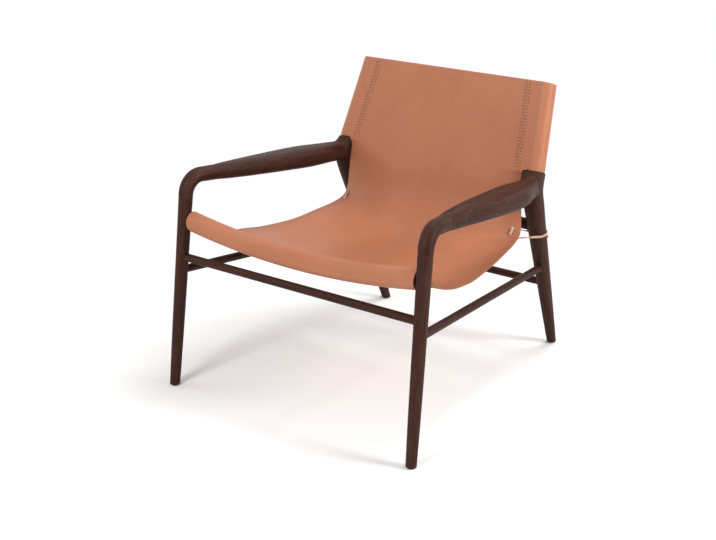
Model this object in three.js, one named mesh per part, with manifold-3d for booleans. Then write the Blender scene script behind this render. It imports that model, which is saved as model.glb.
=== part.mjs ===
// Lounge chair with a wooden frame and a one-piece leather sling.
// Millimetres. +X is the sitter's left, -Y is the front, +Z is up.
// The origin is on the floor, in the middle between the four feet.

import * as THREE from "three";
import { mergeVertices } from "three/addons/utils/BufferGeometryUtils.js";
import Module from "manifold-3d";

const { Matrix4, Quaternion, Shape, Vector2, Vector3 } = THREE;
const wasm = await Module();
wasm.setup();

// Frame lines: where the axes of legs, elbows and posts run on the chair's left side.
const frontFootX = 357.6;
const frontFootY = -399.5;
const rearFootX = 272.8;
const rearFootY = 400.6;
const frontTopX = 346.5; // front leg's axis at its joint with the elbow
const frontTopY = -341;
const frontTopHeight = 480;
const headTopHeight = 517.5; // top of the rear leg's head, on the post's axis
const bendX = 290; // rear leg's axis where it turns back into the head
const bendY = 218.4;
const bendDrop = 45; // from the head's top down to the turn
const bendHeight = headTopHeight - bendDrop;
const postTopX = 262; // a point on the back post's axis
const postTopY = 318.6;
const postTopRise = 204.5; // from the head's top
const postTopHeight = headTopHeight + postTopRise;
const slingTopRise = 211.5; // from the head's top up to the sling's top edge
const slingTopHeight = headTopHeight + slingTopRise;

// Legs.
const frontFootRadius = 12.7;
const frontTopRadius = 17.4;
const rearFootRadius = 12.1;
const rearBendRadius = 25.3;
const headRadius = 26.6;
const headBendRadius = 62; // how softly the rear leg turns into the head
const footRounding = 2.5;
const headPower = 2.5; // above 2 the head's section is squarer than a circle
const frontSwellShares = [[0, 0], [0.12, 0.2], [0.3, 0.42], [0.5, 0.58], [0.72, 0.72], [0.88, 0.86], [1, 1]];
const rearSwellShares = [[0, 0], [0.12, 0.16], [0.28, 0.34], [0.5, 0.57], [0.72, 0.79], [0.88, 0.92], [1, 1]];

// Elbow and armrest.
const armPitchHeight = 529.5; // where the front leg's axis would meet the armrest's
const elbowBendRadius = 50;
const elbowJointX = 333.6;
const elbowJointY = -247;
const elbowJointHeight = 522.5;
const elbowJointHalfWidth = 21;
const elbowJointHalfHeight = 18.2;
const elbowJointPower = 2.2;
const armEndDrop = 33.5; // from the head's top down to the armrest's axis at the rear leg
const armEndHeight = headTopHeight - armEndDrop;
const armEndSetback = 13; // from the rear leg's axis to the armrest's end face
const armHalfWidth = 45.5; // at its broadest
const armHalfHeight = 25.2; // at its deepest
const armPower = 2.8;
const armFrontHandle = 150; // how far the elbow's direction carries on along the armrest
const armRearHandle = 176;
const armRearFlare = 33;
const armRearRise = 11;
const armWidthShares = [
  [0, 0], [0.07, 0.24], [0.14, 0.36], [0.27, 0.64], [0.4, 0.83], [0.52, 0.93],
  [0.62, 1], [0.7, 0.99], [0.77, 0.78], [0.84, 0.47], [0.92, 0.2], [1, 0.02],
];
const armHeightShares = [
  [0, 0], [0.08, 0.25], [0.2, 0.48], [0.34, 0.6], [0.5, 0.85], [0.62, 1], [0.8, 0.94], [1, 0.98],
];

// Posts and rails.
const postRadius = 20;
const postTopInset = 4; // the post ends below the sleeve's mouth
const postTenonRadius = 11;
const postTenonDepth = 22;
const frontRailRadius = 20;
const frontRailDrop = 60.5; // from the elbow's joint down to its axis at the legs
const frontRailHeight = frontTopHeight - frontRailDrop;
const frontRailSag = 28.5; // how much lower its middle is
const frontRailSetback = 10.8; // behind the front legs' axes
const frontRailTenonSetback = 3;
const frontRailTenonRadius = 8;
const backRailHeight = 371;
const backRailRadius = 14.5;
const backRailTenonRadius = 9;

// Stretchers.
const stretcherRadius = 10;
const stretcherTenonRadius = 7;
const frontStretcherDrop = 87.5; // below the front rail's ends
const frontStretcherHeight = frontRailHeight - frontStretcherDrop;
const sideStretcherFrontHeight = 298.3;
const sideStretcherRearHeight = 246.3;
const rearStretcherHeight = 197.1;

// Joinery.
const fitGap = 0.3;
const shoulderBite = 0.5; // how deep a round shoulder sits below the leg's surface
const tenonPast = 6; // a tenon's end, beyond the leg's axis
const dowelRadius = 5;
const dowelLength = 44;
const dowelChamfer = 1;
const looseTenonThickness = 9;
const looseTenonWidth = 20;
const looseTenonLength = 34;
const looseTenonDrop = 10; // below the armrest's axis
const cutOverrun = 8;

// Glides and screws.
const glideThickness = 2.5;
const glideRadius = 9;
const glidePinRadius = 1.6;
const glidePinLength = 14;
const screwCount = 7;
const screwInset = 22; // from the rail's end to the first screw
const screwShankRadius = 2;
const screwLength = 17;
const screwHeadRadius = 5;
const screwHeadHeight = 2.6;

// Leather.
const leather = 4;
const sleeveGap = 0.6; // between post and sleeve
const sleeveLift = 1.2; // the sleeve's lower edge above the head
const sleeveRadius = postRadius + sleeveGap + leather;
const flapAngle = 20; // degrees, where the flap leaves the tube
const flapWidth = 18; // the sewn part of the flap
const sleeveOverlap = 1; // the flat sheet ends this far inside the tube's foremost line
const sleeveStartAngle = 14; // degrees, how far the tube's arc runs on into the sheet
const sleeveInnerStartAngle = -8;
const tuck = 0.75; // how far joined leather runs into its neighbour
const slingNeckHalfWidth = 258; // between the two heads
const neckCurl = 9; // how far the neck's edges bend back beside the heads
const slingNotch = 0.8; // height of the step below each sleeve
const seatEdgeHeight = 338.5; // lowest point of the sling's side edges
const seatMiddleHeight = 322.5; // lowest point of the sling's middle
const flatBackDrop = 12.5; // the back is flat from this far below the head's top
const flatBackHeight = headTopHeight - flatBackDrop;
const rollLeaveAngle = 45; // degrees up from straight back, where the seat leaves the roll
const rollEndAngle = 302; // where the leather ends under the rail
const rollStepAngle = 15;
const screwAngle = 284;

// The seat's side view, from the roll (0, along) to the flat back (1). Upwards it runs from
// the lowest point (0) to where the seat leaves the roll (1), and behind the seat's middle
// from the lowest point to the flat back's foot. Third entry of an edge point: its distance
// from the middle, from the neck (0) to the roll's end (1).
const seatMiddleShare = 0.5;
const seatEdgeShares = [
  [0.124, 0.461, 1.06], [0.231, 0.235, 1.08], [0.345, 0.132, 1.03], [0.454, 0.051, 0.872],
  [0.637, 0.009, 0.607], [0.793, 0.048, 0.439], [0.918, 0.093, 0.293], [0.985, 0.171, 0.202],
  [1.004, 0.339, 0.132], [1.007, 0.568, 0.077], [1.0075, 0.8, 0.014],
];
const seatMiddleShares = [
  [0.124, 0.507], [0.231, 0.262], [0.345, 0.128], [0.454, 0.047],
  [0.603, 0], [0.732, 0.041], [0.821, 0.134], [0.874, 0.249],
  [0.917, 0.414], [0.95, 0.606], [0.976, 0.819],
];
// How late a row rises to its edge, along the side view.
const crossPowerShares = [[0, 2], [0.45, 2], [0.65, 3], [0.88, 3], [1, 9]];

// Laces: flat strips, each through two slots in the sling.
const laceHalfWidth = 3.2;
const laceHalfThickness = 1;
const laceDrop = 23.5; // from the back rail's axis down to the lace in front of the rear leg
const laceHeight = backRailHeight - laceDrop;
const laceRise = 7; // how much higher its knot lies behind the leg
const laceInnerDrop = 19.3; // from the back rail's axis down to the lace on the leg's inner side
const laceInnerHeight = backRailHeight - laceInnerDrop;
const slotGap = 1.3; // round the strip
const slotInsets = [20, 17]; // lower and upper slot, from the sling's side edge
const slotShares = [0.585, 0.643]; // and along the seat's side view
const laceBulge = 2.6; // the stitch stands this far off the sling
const laceLoop = 5.5; // how far behind the sling the strip turns
const knotRadius = 6;
const knotShares = [1, 0.6, 0.85]; // its half width, depth and height, as shares of its radius
const laceTail = 28;
const laceArcStep = 17; // degrees
const laceInnerArc = [112, 180]; // round the leg, where 0 is outwards and 90 is behind
const laceOuterArc = [-36, 68];
const laceInnerShares = [0.4, 0.22, 0.5]; // on the way from the leg to behind the upper slot
const laceOuterShares = [0.3, 0.5, 0.75]; // on the way from behind the lower slot to the leg
const laceNearShare = 0.12; // on the way from one slot to the other

// Facets.
const legSides = 18;
const armSides = 18;
const barSides = 16;
const smallSides = 10;
const postSides = 32;
const legStations = 20;
const armStations = 20;
const elbowStations = 12;
const slingColumns = 10;
const rowsPerSpan = 2;
const sleeveArcSteps = 10;
const laceSteps = 84;
const laceTailSteps = 5;

const xAxis = new Vector3(1, 0, 0);
const yAxis = new Vector3(0, 1, 0);
const zAxis = new Vector3(0, 0, 1);

const mix = (a, b, share) => a + (b - a) * share;
const radians = THREE.MathUtils.degToRad;

// The value at a place in a table of [place, value] shares, straight between its entries.
function shareAt(shares, place) {
  const last = shares[shares.length - 1];
  if (place >= last[0]) return last[1];
  const next = Math.max(1, shares.findIndex((entry) => entry[0] > place));
  const [fromPlace, fromValue] = shares[next - 1];
  const [toPlace, toValue] = shares[next];
  return mix(fromValue, toValue, (place - fromPlace) / (toPlace - fromPlace));
}

// The point at a height on the line through two points.
function atHeight(low, high, height) {
  return new Vector3().lerpVectors(low, high, (height - low.z) / (high.z - low.z));
}

const frontFoot = new Vector3(frontFootX, frontFootY, 0);
const frontTop = new Vector3(frontTopX, frontTopY, frontTopHeight);
const rearFoot = new Vector3(rearFootX, rearFootY, 0);
const bend = new Vector3(bendX, bendY, bendHeight);
const postTop = new Vector3(postTopX, postTopY, postTopHeight);
const frontAxis = new Vector3().subVectors(frontTop, frontFoot).normalize();
const rearAxis = new Vector3().subVectors(bend, rearFoot).normalize();
const postAxis = new Vector3().subVectors(postTop, bend).normalize();

const frontAt = (height) => atHeight(frontFoot, frontTop, height);

function rearAt(height) {
  return height < bendHeight ? atHeight(rearFoot, bend, height) : atHeight(bend, postTop, height);
}

function frontRadiusAt(height) {
  return mix(frontFootRadius, frontTopRadius, shareAt(frontSwellShares, height / frontTopHeight));
}

function rearRadiusAt(height) {
  if (height < bendHeight) {
    return mix(rearFootRadius, rearBendRadius, shareAt(rearSwellShares, height / bendHeight));
  }
  const share = Math.min(1, (height - bendHeight) / (headTopHeight - bendHeight));
  return mix(rearBendRadius, headRadius, share);
}

// The back's plane holds both posts' axes: backUp runs up it and backFront faces the sitter.
const backTilt = Math.atan2(postTopY - bendY, postTopHeight - bendHeight);
const backUp = new Vector3(0, Math.sin(backTilt), Math.cos(backTilt));
const backFront = new Vector3(0, -Math.cos(backTilt), Math.sin(backTilt));
const postPerUp = postAxis.clone().divideScalar(postAxis.dot(backUp));
const headTop = rearAt(headTopHeight);
const slingTopAxis = rearAt(slingTopHeight - sleeveRadius * backFront.z);

// A mesh through points, with its faces turned outwards.
function closedGeometry(points, faces) {
  let volume = 0;
  for (let i = 0; i < faces.length; i += 3) {
    const [a, b, c] = [points[faces[i]], points[faces[i + 1]], points[faces[i + 2]]];
    volume += new Vector3().crossVectors(b, c).dot(a);
  }
  const turned = volume < 0 ? [...faces].reverse() : faces;
  const geometry = new THREE.BufferGeometry();
  geometry.setAttribute("position", new THREE.Float32BufferAttribute(points.flatMap((p) => p.toArray()), 3));
  geometry.setIndex(turned);
  return geometry;
}

// A closed body through rings of points, with a flat cap on each end.
function loft(rings) {
  const count = rings[0].length;
  const points = rings.flat();
  const faces = [];
  for (let ring = 0; ring < rings.length - 1; ring += 1) {
    for (let k = 0; k < count; k += 1) {
      const a = ring * count + k;
      const b = ring * count + ((k + 1) % count);
      faces.push(a, b, b + count, a, b + count, a + count);
    }
  }
  for (const ring of [0, rings.length - 1]) {
    const centre = new Vector3();
    rings[ring].forEach((p) => centre.addScaledVector(p, 1 / count));
    const middle = points.push(centre) - 1;
    for (let k = 0; k < count; k += 1) {
      const a = ring * count + k;
      const b = ring * count + ((k + 1) % count);
      faces.push(middle, ...(ring === 0 ? [b, a] : [a, b]));
    }
  }
  return closedGeometry(points, faces);
}

// A ring of a superellipse. Power 2 is an ellipse, and a higher one is squarer.
function sectionRing(centre, side, up, halfWidth, halfHeight, power, count) {
  const ring = [];
  for (let k = 0; k < count; k += 1) {
    const angle = (2 * Math.PI * k) / count;
    const c = Math.cos(angle);
    const s = Math.sin(angle);
    const across = Math.sign(c) * Math.abs(c) ** (2 / power) * halfWidth;
    const upwards = Math.sign(s) * Math.abs(s) ** (2 / power) * halfHeight;
    ring.push(centre.clone().addScaledVector(side, across).addScaledVector(up, upwards));
  }
  return ring;
}

// Sections along a curve. sectionAt(point, share) gives half width, half height and power.
function sweep(curve, stations, sides, sectionAt) {
  const rings = [];
  for (let i = 0; i <= stations; i += 1) {
    const share = i / stations;
    const centre = curve.getPointAt(share);
    const along = curve.getTangentAt(share);
    const side = xAxis.clone().addScaledVector(along, -xAxis.dot(along)).normalize();
    const up = new Vector3().crossVectors(side, along);
    const [halfWidth, halfHeight, power] = sectionAt(centre, share);
    rings.push(sectionRing(centre, side, up, halfWidth, halfHeight, power, sides));
  }
  return loft(rings);
}

// Two straight lines with a round bend of the given radius between them.
function bentPath(from, corner, to, radius) {
  const before = new Vector3().subVectors(corner, from).normalize();
  const after = new Vector3().subVectors(to, corner).normalize();
  const turn = before.angleTo(after);
  const tangent = radius * Math.tan(turn / 2);
  const handle = (4 / 3) * Math.tan(turn / 4) * radius;
  const start = corner.clone().addScaledVector(before, -tangent);
  const end = corner.clone().addScaledVector(after, tangent);
  const path = new THREE.CurvePath();
  path.add(new THREE.LineCurve3(from, start));
  path.add(new THREE.CubicBezierCurve3(
    start,
    start.clone().addScaledVector(before, handle),
    end.clone().addScaledVector(after, -handle),
    end,
  ));
  path.add(new THREE.LineCurve3(end, to));
  return path;
}

// A turned piece: its profile's points are [radius, place along its axis].
function turned(profile, sides) {
  return new THREE.LatheGeometry(profile.map(([radius, place]) => new Vector2(radius, place)), sides);
}

function extruded(outline, depth, curveSegments) {
  return new THREE.ExtrudeGeometry(outline, { depth, curveSegments, bevelEnabled: false });
}

// A plain round rod between two places along its axis.
function plainRod(radius, low, high, sides) {
  return turned([[0, low], [radius, low], [radius, high], [0, high]], sides);
}

// The matrix that stands a turned piece on a point, with its axis along a direction.
function standing(origin, direction) {
  const turn = new Quaternion().setFromUnitVectors(yAxis, direction);
  return new Matrix4().compose(origin, turn, new Vector3(1, 1, 1));
}

// The matrix of a box that lies in the back's plane.
function alongBack(origin) {
  return new Matrix4().makeBasis(xAxis, backFront.clone().negate(), backUp).setPosition(origin);
}

function solidOf(geometry, matrix = new Matrix4()) {
  const bare = geometry.clone().applyMatrix4(matrix);
  bare.deleteAttribute("normal");
  bare.deleteAttribute("uv");
  const merged = mergeVertices(bare);
  const points = [];
  const place = merged.attributes.position;
  for (let i = 0; i < place.count; i += 1) points.push(new Vector3().fromBufferAttribute(place, i));
  const closed = closedGeometry(points, Array.from(merged.index.array));
  return new wasm.Manifold(new wasm.Mesh({
    numProp: 3,
    vertProperties: closed.attributes.position.array,
    triVerts: new Uint32Array(closed.index.array),
  }));
}

function geometryOf(solid) {
  const mesh = solid.getMesh();
  const geometry = new THREE.BufferGeometry();
  geometry.setAttribute("position", new THREE.BufferAttribute(mesh.vertProperties, 3));
  geometry.setIndex(new THREE.BufferAttribute(mesh.triVerts, 1));
  return geometry;
}

const without = (solid, cutters) => cutters.reduce((rest, cutter) => rest.subtract(cutter), solid);

// A straight turned rod with a chamfer at each end, from a centre, grown for its socket.
function rod(radius, length, chamfer, grow = 0) {
  const r = radius + grow;
  const half = length / 2 + grow;
  const nose = r - chamfer;
  return turned([
    [0, -half], [nose, -half], [r, chamfer - half], [r, half - chamfer], [nose, half], [0, half],
  ], smallSides);
}

// A round bar between two legs: full radius between its shoulders, with a tenon into each leg.
function tenonedBar(length, radius, tenonRadius, reaches, grow = 0) {
  const [near, far] = reaches;
  const tenon = tenonRadius + grow;
  const full = radius + grow;
  const low = -tenonPast - grow;
  const high = length + tenonPast + grow;
  return turned([
    [0, low], [tenon, low], [tenon, near - grow], [full, near - grow],
    [full, length - far + grow], [tenon, length - far + grow], [tenon, high], [0, high],
  ], barSides);
}

// How far from a leg's axis a round bar's shoulder lies, so that its whole rim is let in.
const shoulderReach = (legRadius, barRadius) => Math.sqrt(legRadius ** 2 - barRadius ** 2) - shoulderBite;

// Each bar once: where it runs, and a function for its own body and for the socket it needs.
function bar(from, to, radius, tenonRadius, legRadii) {
  const span = new Vector3().subVectors(to, from);
  const reaches = legRadii.map((legRadius) => shoulderReach(legRadius, radius));
  const matrix = standing(from, span.clone().normalize());
  const body = (grow) => tenonedBar(span.length(), radius, tenonRadius, reaches, grow);
  return { matrix, geometry: body(0), socket: () => solidOf(body(fitGap), matrix) };
}

const mirroredX = (point) => point.clone().setX(-point.x);

function crossBar(end, radius, tenonRadius, legRadius) {
  return bar(mirroredX(end), end, radius, tenonRadius, [legRadius, legRadius]);
}

const frontStretcher = crossBar(
  frontAt(frontStretcherHeight), stretcherRadius, stretcherTenonRadius, frontRadiusAt(frontStretcherHeight),
);
const rearStretcher = crossBar(
  rearAt(rearStretcherHeight), stretcherRadius, stretcherTenonRadius, rearRadiusAt(rearStretcherHeight),
);
const backRail = crossBar(
  rearAt(backRailHeight), backRailRadius, backRailTenonRadius, rearRadiusAt(backRailHeight),
);
const sideStretcher = bar(
  frontAt(sideStretcherFrontHeight), rearAt(sideStretcherRearHeight), stretcherRadius, stretcherTenonRadius,
  [frontRadiusAt(sideStretcherFrontHeight), rearRadiusAt(sideStretcherRearHeight)],
);

// Front rail: round, with a circular sag between the legs.
const railLegAxis = frontAt(frontRailHeight);
const rollTopHeight = frontRailHeight + frontRailRadius + leather * 2;
const railEndX = frontAt(rollTopHeight).x - frontRadiusAt(rollTopHeight) - fitGap;
const railY = railLegAxis.y + frontRailSetback;
const sagRadius = (railEndX ** 2 + frontRailSag ** 2) / (2 * frontRailSag);
const railHeightAt = (x) => frontRailHeight - frontRailSag + sagRadius - Math.sqrt(sagRadius ** 2 - x ** 2);
const railSlopeAt = (x) => Math.asin(x / sagRadius);

// Places across the sling and its rail, from -1 to 1, closer together near the sides.
const acrossPlaces = Array.from({ length: slingColumns + 1 }, (_, i) => (
  Math.sin((i / slingColumns - 0.5) * Math.PI)
));

// A point on a circle round the rail's axis, in the upright slice at x.
function roundRail(x, radius, angle) {
  const upwards = (radius * Math.sin(angle)) / Math.cos(railSlopeAt(x));
  return new Vector3(x, railY + radius * Math.cos(angle), railHeightAt(x) + upwards);
}

function railTenon(side, grow) {
  const y = railLegAxis.y + frontRailTenonSetback;
  const from = new Vector3(side * (railEndX - cutOverrun), y, frontRailHeight);
  const length = railLegAxis.x + tenonPast + grow - railEndX + cutOverrun;
  const tenon = plainRod(frontRailTenonRadius + grow, 0, length, barSides);
  return solidOf(tenon, standing(from, xAxis.clone().multiplyScalar(side)));
}

function screwMatrix(index) {
  const x = mix(-1, 1, index / (screwCount - 1)) * (railEndX - screwInset);
  const slope = railSlopeAt(x);
  const across = new Vector3(-Math.sin(slope), 0, Math.cos(slope));
  const angle = radians(screwAngle);
  const outwards = yAxis.clone().multiplyScalar(Math.cos(angle)).addScaledVector(across, Math.sin(angle));
  const origin = new Vector3(x, railY, railHeightAt(x));
  return standing(origin.addScaledVector(outwards, frontRailRadius + leather + 2 * fitGap), outwards);
}

function screwGeometry() {
  return turned([
    [0, -screwLength], [screwShankRadius, screwShankRadius - screwLength], [screwShankRadius, 0],
    [screwHeadRadius, 0], [screwHeadRadius * 0.86, screwHeadHeight * 0.6],
    [screwHeadRadius * 0.5, screwHeadHeight * 0.93], [0, screwHeadHeight],
  ], smallSides);
}

function screwHole(index) {
  const bore = plainRod(screwShankRadius + fitGap, -screwLength - fitGap, cutOverrun, smallSides);
  return solidOf(bore, screwMatrix(index));
}

const screwIndexes = Array.from({ length: screwCount }, (_, index) => index);

function frontRailSolid() {
  const rings = [];
  for (const across of acrossPlaces) {
    const ring = [];
    for (let angle = 0; angle < 360; angle += rollStepAngle) {
      ring.push(roundRail(across * railEndX, frontRailRadius, radians(angle)));
    }
    rings.push(ring);
  }
  const round = solidOf(loft(rings)).add(railTenon(1, 0)).add(railTenon(-1, 0));
  return without(round, screwIndexes.map(screwHole));
}

// Everything below the foot's level cut, and the rounding of the foot's lower edge.
function footCutters(foot, radius) {
  const wide = radius * 4;
  const below = new THREE.BoxGeometry(wide, wide, wide);
  const floorCut = solidOf(below, new Matrix4().makeTranslation(foot.x, foot.y, glideThickness - wide / 2));
  const inner = radius - footRounding;
  const profile = [[inner, -cutOverrun], [inner, 0]];
  for (const share of [0.25, 0.5, 0.75, 1]) {
    const angle = (share * Math.PI) / 2;
    profile.push([inner + footRounding * Math.sin(angle), footRounding * (1 - Math.cos(angle))]);
  }
  const outside = radius + cutOverrun;
  profile.push([outside, footRounding + cutOverrun], [outside, -cutOverrun], profile[0]);
  const base = standing(foot.clone().setZ(glideThickness), zAxis);
  const pinHole = plainRod(glidePinRadius + fitGap, -cutOverrun, glidePinLength + fitGap, smallSides);
  return [floorCut, solidOf(turned(profile, legSides), base), solidOf(pinHole, base)];
}

function glideGeometry() {
  const top = glideThickness + glidePinLength;
  return turned([
    [0, 0], [glideRadius - glideThickness / 3, 0], [glideRadius, glideThickness / 3],
    [glideRadius, glideThickness], [glidePinRadius, glideThickness],
    [glidePinRadius, top - glidePinRadius], [0, top],
  ], smallSides);
}

// Dowel at the joint of front leg and elbow, and at the joint of elbow and armrest.
const armCorner = frontAt(armPitchHeight);
const elbowJoint = new Vector3(elbowJointX, elbowJointY, elbowJointHeight);
const armStart = new Vector3().subVectors(elbowJoint, armCorner).normalize();
const legDowelMatrix = standing(frontTop, frontAxis);
const armDowelMatrix = standing(elbowJoint, armStart);
const dowelGeometry = rod(dowelRadius, dowelLength, dowelChamfer);
const dowelSocket = (matrix) => solidOf(rod(dowelRadius, dowelLength, dowelChamfer, fitGap), matrix);

function frontLegSolid() {
  const length = frontFoot.distanceTo(frontTop);
  const outline = frontSwellShares.map(([place, swell]) => (
    [mix(frontFootRadius, frontTopRadius, swell), place * length]
  ));
  const profile = [[0, -cutOverrun], [frontFootRadius, -cutOverrun], ...outline, [0, length]];
  const leg = solidOf(turned(profile, legSides), standing(frontFoot, frontAxis));
  return without(leg, [
    ...footCutters(frontAt(glideThickness), frontFootRadius),
    dowelSocket(legDowelMatrix),
    frontStretcher.socket(),
    sideStretcher.socket(),
    railTenon(1, fitGap),
  ]);
}

function elbowSolid() {
  const from = frontTop.clone().addScaledVector(frontAxis, fitGap);
  const to = elbowJoint.clone().addScaledVector(armStart, -fitGap);
  const path = bentPath(from, armCorner, to, elbowBendRadius);
  const body = sweep(path, elbowStations, armSides, (_, share) => [
    mix(frontTopRadius, elbowJointHalfWidth, share),
    mix(frontTopRadius, elbowJointHalfHeight, share),
    mix(2, elbowJointPower, share),
  ]);
  return without(solidOf(body), [dowelSocket(legDowelMatrix), dowelSocket(armDowelMatrix)]);
}

// Armrest: a paddle on a gently bowed line from the elbow to the rear leg.
const armEnd = rearAt(armEndHeight);
const armEndFaceY = armEnd.y - armEndSetback;

function armBody(grow) {
  const curve = new THREE.CubicBezierCurve3(
    elbowJoint,
    elbowJoint.clone().addScaledVector(armStart, armFrontHandle),
    armEnd.clone().add(new Vector3(armRearFlare, -armRearHandle, armRearRise)),
    armEnd,
  );
  const body = sweep(curve, armStations, armSides, (_, share) => [
    mix(elbowJointHalfWidth, armHalfWidth, shareAt(armWidthShares, share)) + grow,
    mix(elbowJointHalfHeight, armHalfHeight, shareAt(armHeightShares, share)) + grow,
    mix(elbowJointPower, armPower, Math.min(1, 3 * share)),
  ]);
  const deep = armEndSetback * 8;
  const behind = new THREE.BoxGeometry(deep, deep, deep);
  const cut = new Matrix4().makeTranslation(armEnd.x, armEndFaceY + grow + deep / 2, armEnd.z);
  return solidOf(body).subtract(solidOf(behind, cut));
}

// Loose tenon between armrest and rear leg, with round edges.
const looseTenonPlace = new Vector3(armEnd.x, armEndFaceY, armEndHeight - looseTenonDrop);

function looseTenon(grow = 0) {
  const r = looseTenonThickness / 2 + grow;
  const straight = looseTenonWidth / 2 - looseTenonThickness / 2;
  const outline = new Shape();
  outline.absarc(0, straight, r, 0, Math.PI, false);
  outline.absarc(0, -straight, r, Math.PI, 2 * Math.PI, false);
  const depth = looseTenonLength + 2 * grow;
  return extruded(outline, depth, smallSides / 2).translate(0, 0, -depth / 2).rotateX(Math.PI / 2);
}

const looseTenonMatrix = new Matrix4().setPosition(looseTenonPlace);
const looseTenonSocket = () => solidOf(looseTenon(fitGap), looseTenonMatrix);

function armrestSolid() {
  return without(armBody(0), [dowelSocket(armDowelMatrix), looseTenonSocket()]);
}

// Everything on one side of a plane across the back, as a box.
function acrossBack(point, upwards) {
  const size = slingTopHeight;
  const box = new THREE.BoxGeometry(size, size, size);
  return solidOf(box, alongBack(point.clone().addScaledVector(backUp, (upwards ? size : -size) / 2)));
}

function postTenon(grow) {
  const tenon = plainRod(postTenonRadius + grow, -postTenonDepth - grow, cutOverrun, barSides);
  return solidOf(tenon, standing(headTop, postAxis));
}

function backPostSolid() {
  const shoulder = headTop.clone().addScaledVector(backUp, fitGap);
  const top = slingTopAxis.clone().addScaledVector(backUp, -postTopInset);
  const high = headTop.distanceTo(slingTopAxis) + cutOverrun;
  const low = -cutOverrun - postRadius;
  const shaft = solidOf(plainRod(postRadius, low, high, postSides), standing(headTop, postAxis));
  return without(shaft, [acrossBack(shoulder, false), acrossBack(top, true)]).add(postTenon(0));
}

function rearLegSolid() {
  const low = rearFoot.clone().addScaledVector(rearAxis, -cutOverrun);
  const high = headTop.clone().addScaledVector(postAxis, cutOverrun + headRadius);
  const body = sweep(bentPath(low, bend, high, headBendRadius), legStations, legSides, (point) => {
    const radius = rearRadiusAt(point.z);
    const power = mix(2, headPower, THREE.MathUtils.smoothstep(point.z, backRailHeight, headTopHeight));
    return [radius, radius, power];
  });
  return without(solidOf(body), [
    ...footCutters(rearAt(glideThickness), rearFootRadius),
    acrossBack(headTop, true),
    armBody(fitGap),
    looseTenonSocket(),
    postTenon(fitGap),
    sideStretcher.socket(),
    rearStretcher.socket(),
    backRail.socket(),
  ]);
}

// The sling's sitting side. Rows run from the tail under the rail, over the roll and along
// the seat to the top edge, and each row runs from the right edge (-1) to the left (1).
const rollRadius = frontRailRadius + fitGap + leather;
const axisPlaneY = (height) => bendY + (height - bendHeight) * Math.tan(backTilt);
const flatFront = (height) => axisPlaneY(height) - sleeveRadius / Math.cos(backTilt);
const sleeveFoot = headTop.clone().addScaledVector(backUp, sleeveLift);
const notchHeight = sleeveFoot.z + sleeveRadius * backFront.z;

function sideView(shares, rollX, lowest, curl) {
  const leave = roundRail(rollX, rollRadius, radians(rollLeaveAngle));
  const back = flatFront(flatBackHeight);
  const points = shares.map(([along, up]) => {
    const top = along < seatMiddleShare ? leave.z : flatBackHeight;
    return new Vector2(mix(railY, back, along), mix(lowest, top, up));
  });
  const flat = [[flatBackHeight, curl], [notchHeight, curl / 3]].map(([height, back]) => (
    new Vector2(flatFront(height) + back, height)
  ));
  return new THREE.SplineCurve([new Vector2(leave.y, leave.z), ...points, ...flat]);
}

const edgeView = sideView(seatEdgeShares, railEndX, seatEdgeHeight, neckCurl);
const middleView = sideView(seatMiddleShares, 0, seatMiddleHeight, 0);
const widthShares = [1, ...seatEdgeShares.map((entry) => entry[2]), 0, 0];
const widthView = new THREE.SplineCurve(widthShares.map((share) => (
  new Vector2(mix(slingNeckHalfWidth, railEndX, share), 0)
)));

function seatPoint(across, share) {
  const edge = edgeView.getPoint(share);
  const middle = middleView.getPoint(share);
  const rise = Math.abs(across) ** shareAt(crossPowerShares, share);
  const x = across * widthView.getPoint(share).x;
  return new Vector3(x, mix(middle.x, edge.x, rise), mix(middle.y, edge.y, rise));
}

function slingRows() {
  const rows = [];
  const rollSteps = Math.round((rollEndAngle - rollLeaveAngle) / rollStepAngle);
  for (let i = 0; i < rollSteps; i += 1) {
    const angle = radians(mix(rollEndAngle, rollLeaveAngle, i / rollSteps));
    rows.push(acrossPlaces.map((across) => roundRail(across * railEndX, rollRadius, angle)));
  }
  const spans = (seatEdgeShares.length + 2) * rowsPerSpan;
  for (let i = 0; i <= spans; i += 1) rows.push(acrossPlaces.map((across) => seatPoint(across, i / spans)));
  for (const height of [notchHeight + slingNotch, slingTopHeight]) {
    const halfWidth = rearAt(height - sleeveRadius * backFront.z).x - sleeveOverlap;
    rows.push(acrossPlaces.map((across) => new Vector3(across * halfWidth, flatFront(height), height)));
  }
  return rows;
}

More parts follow.
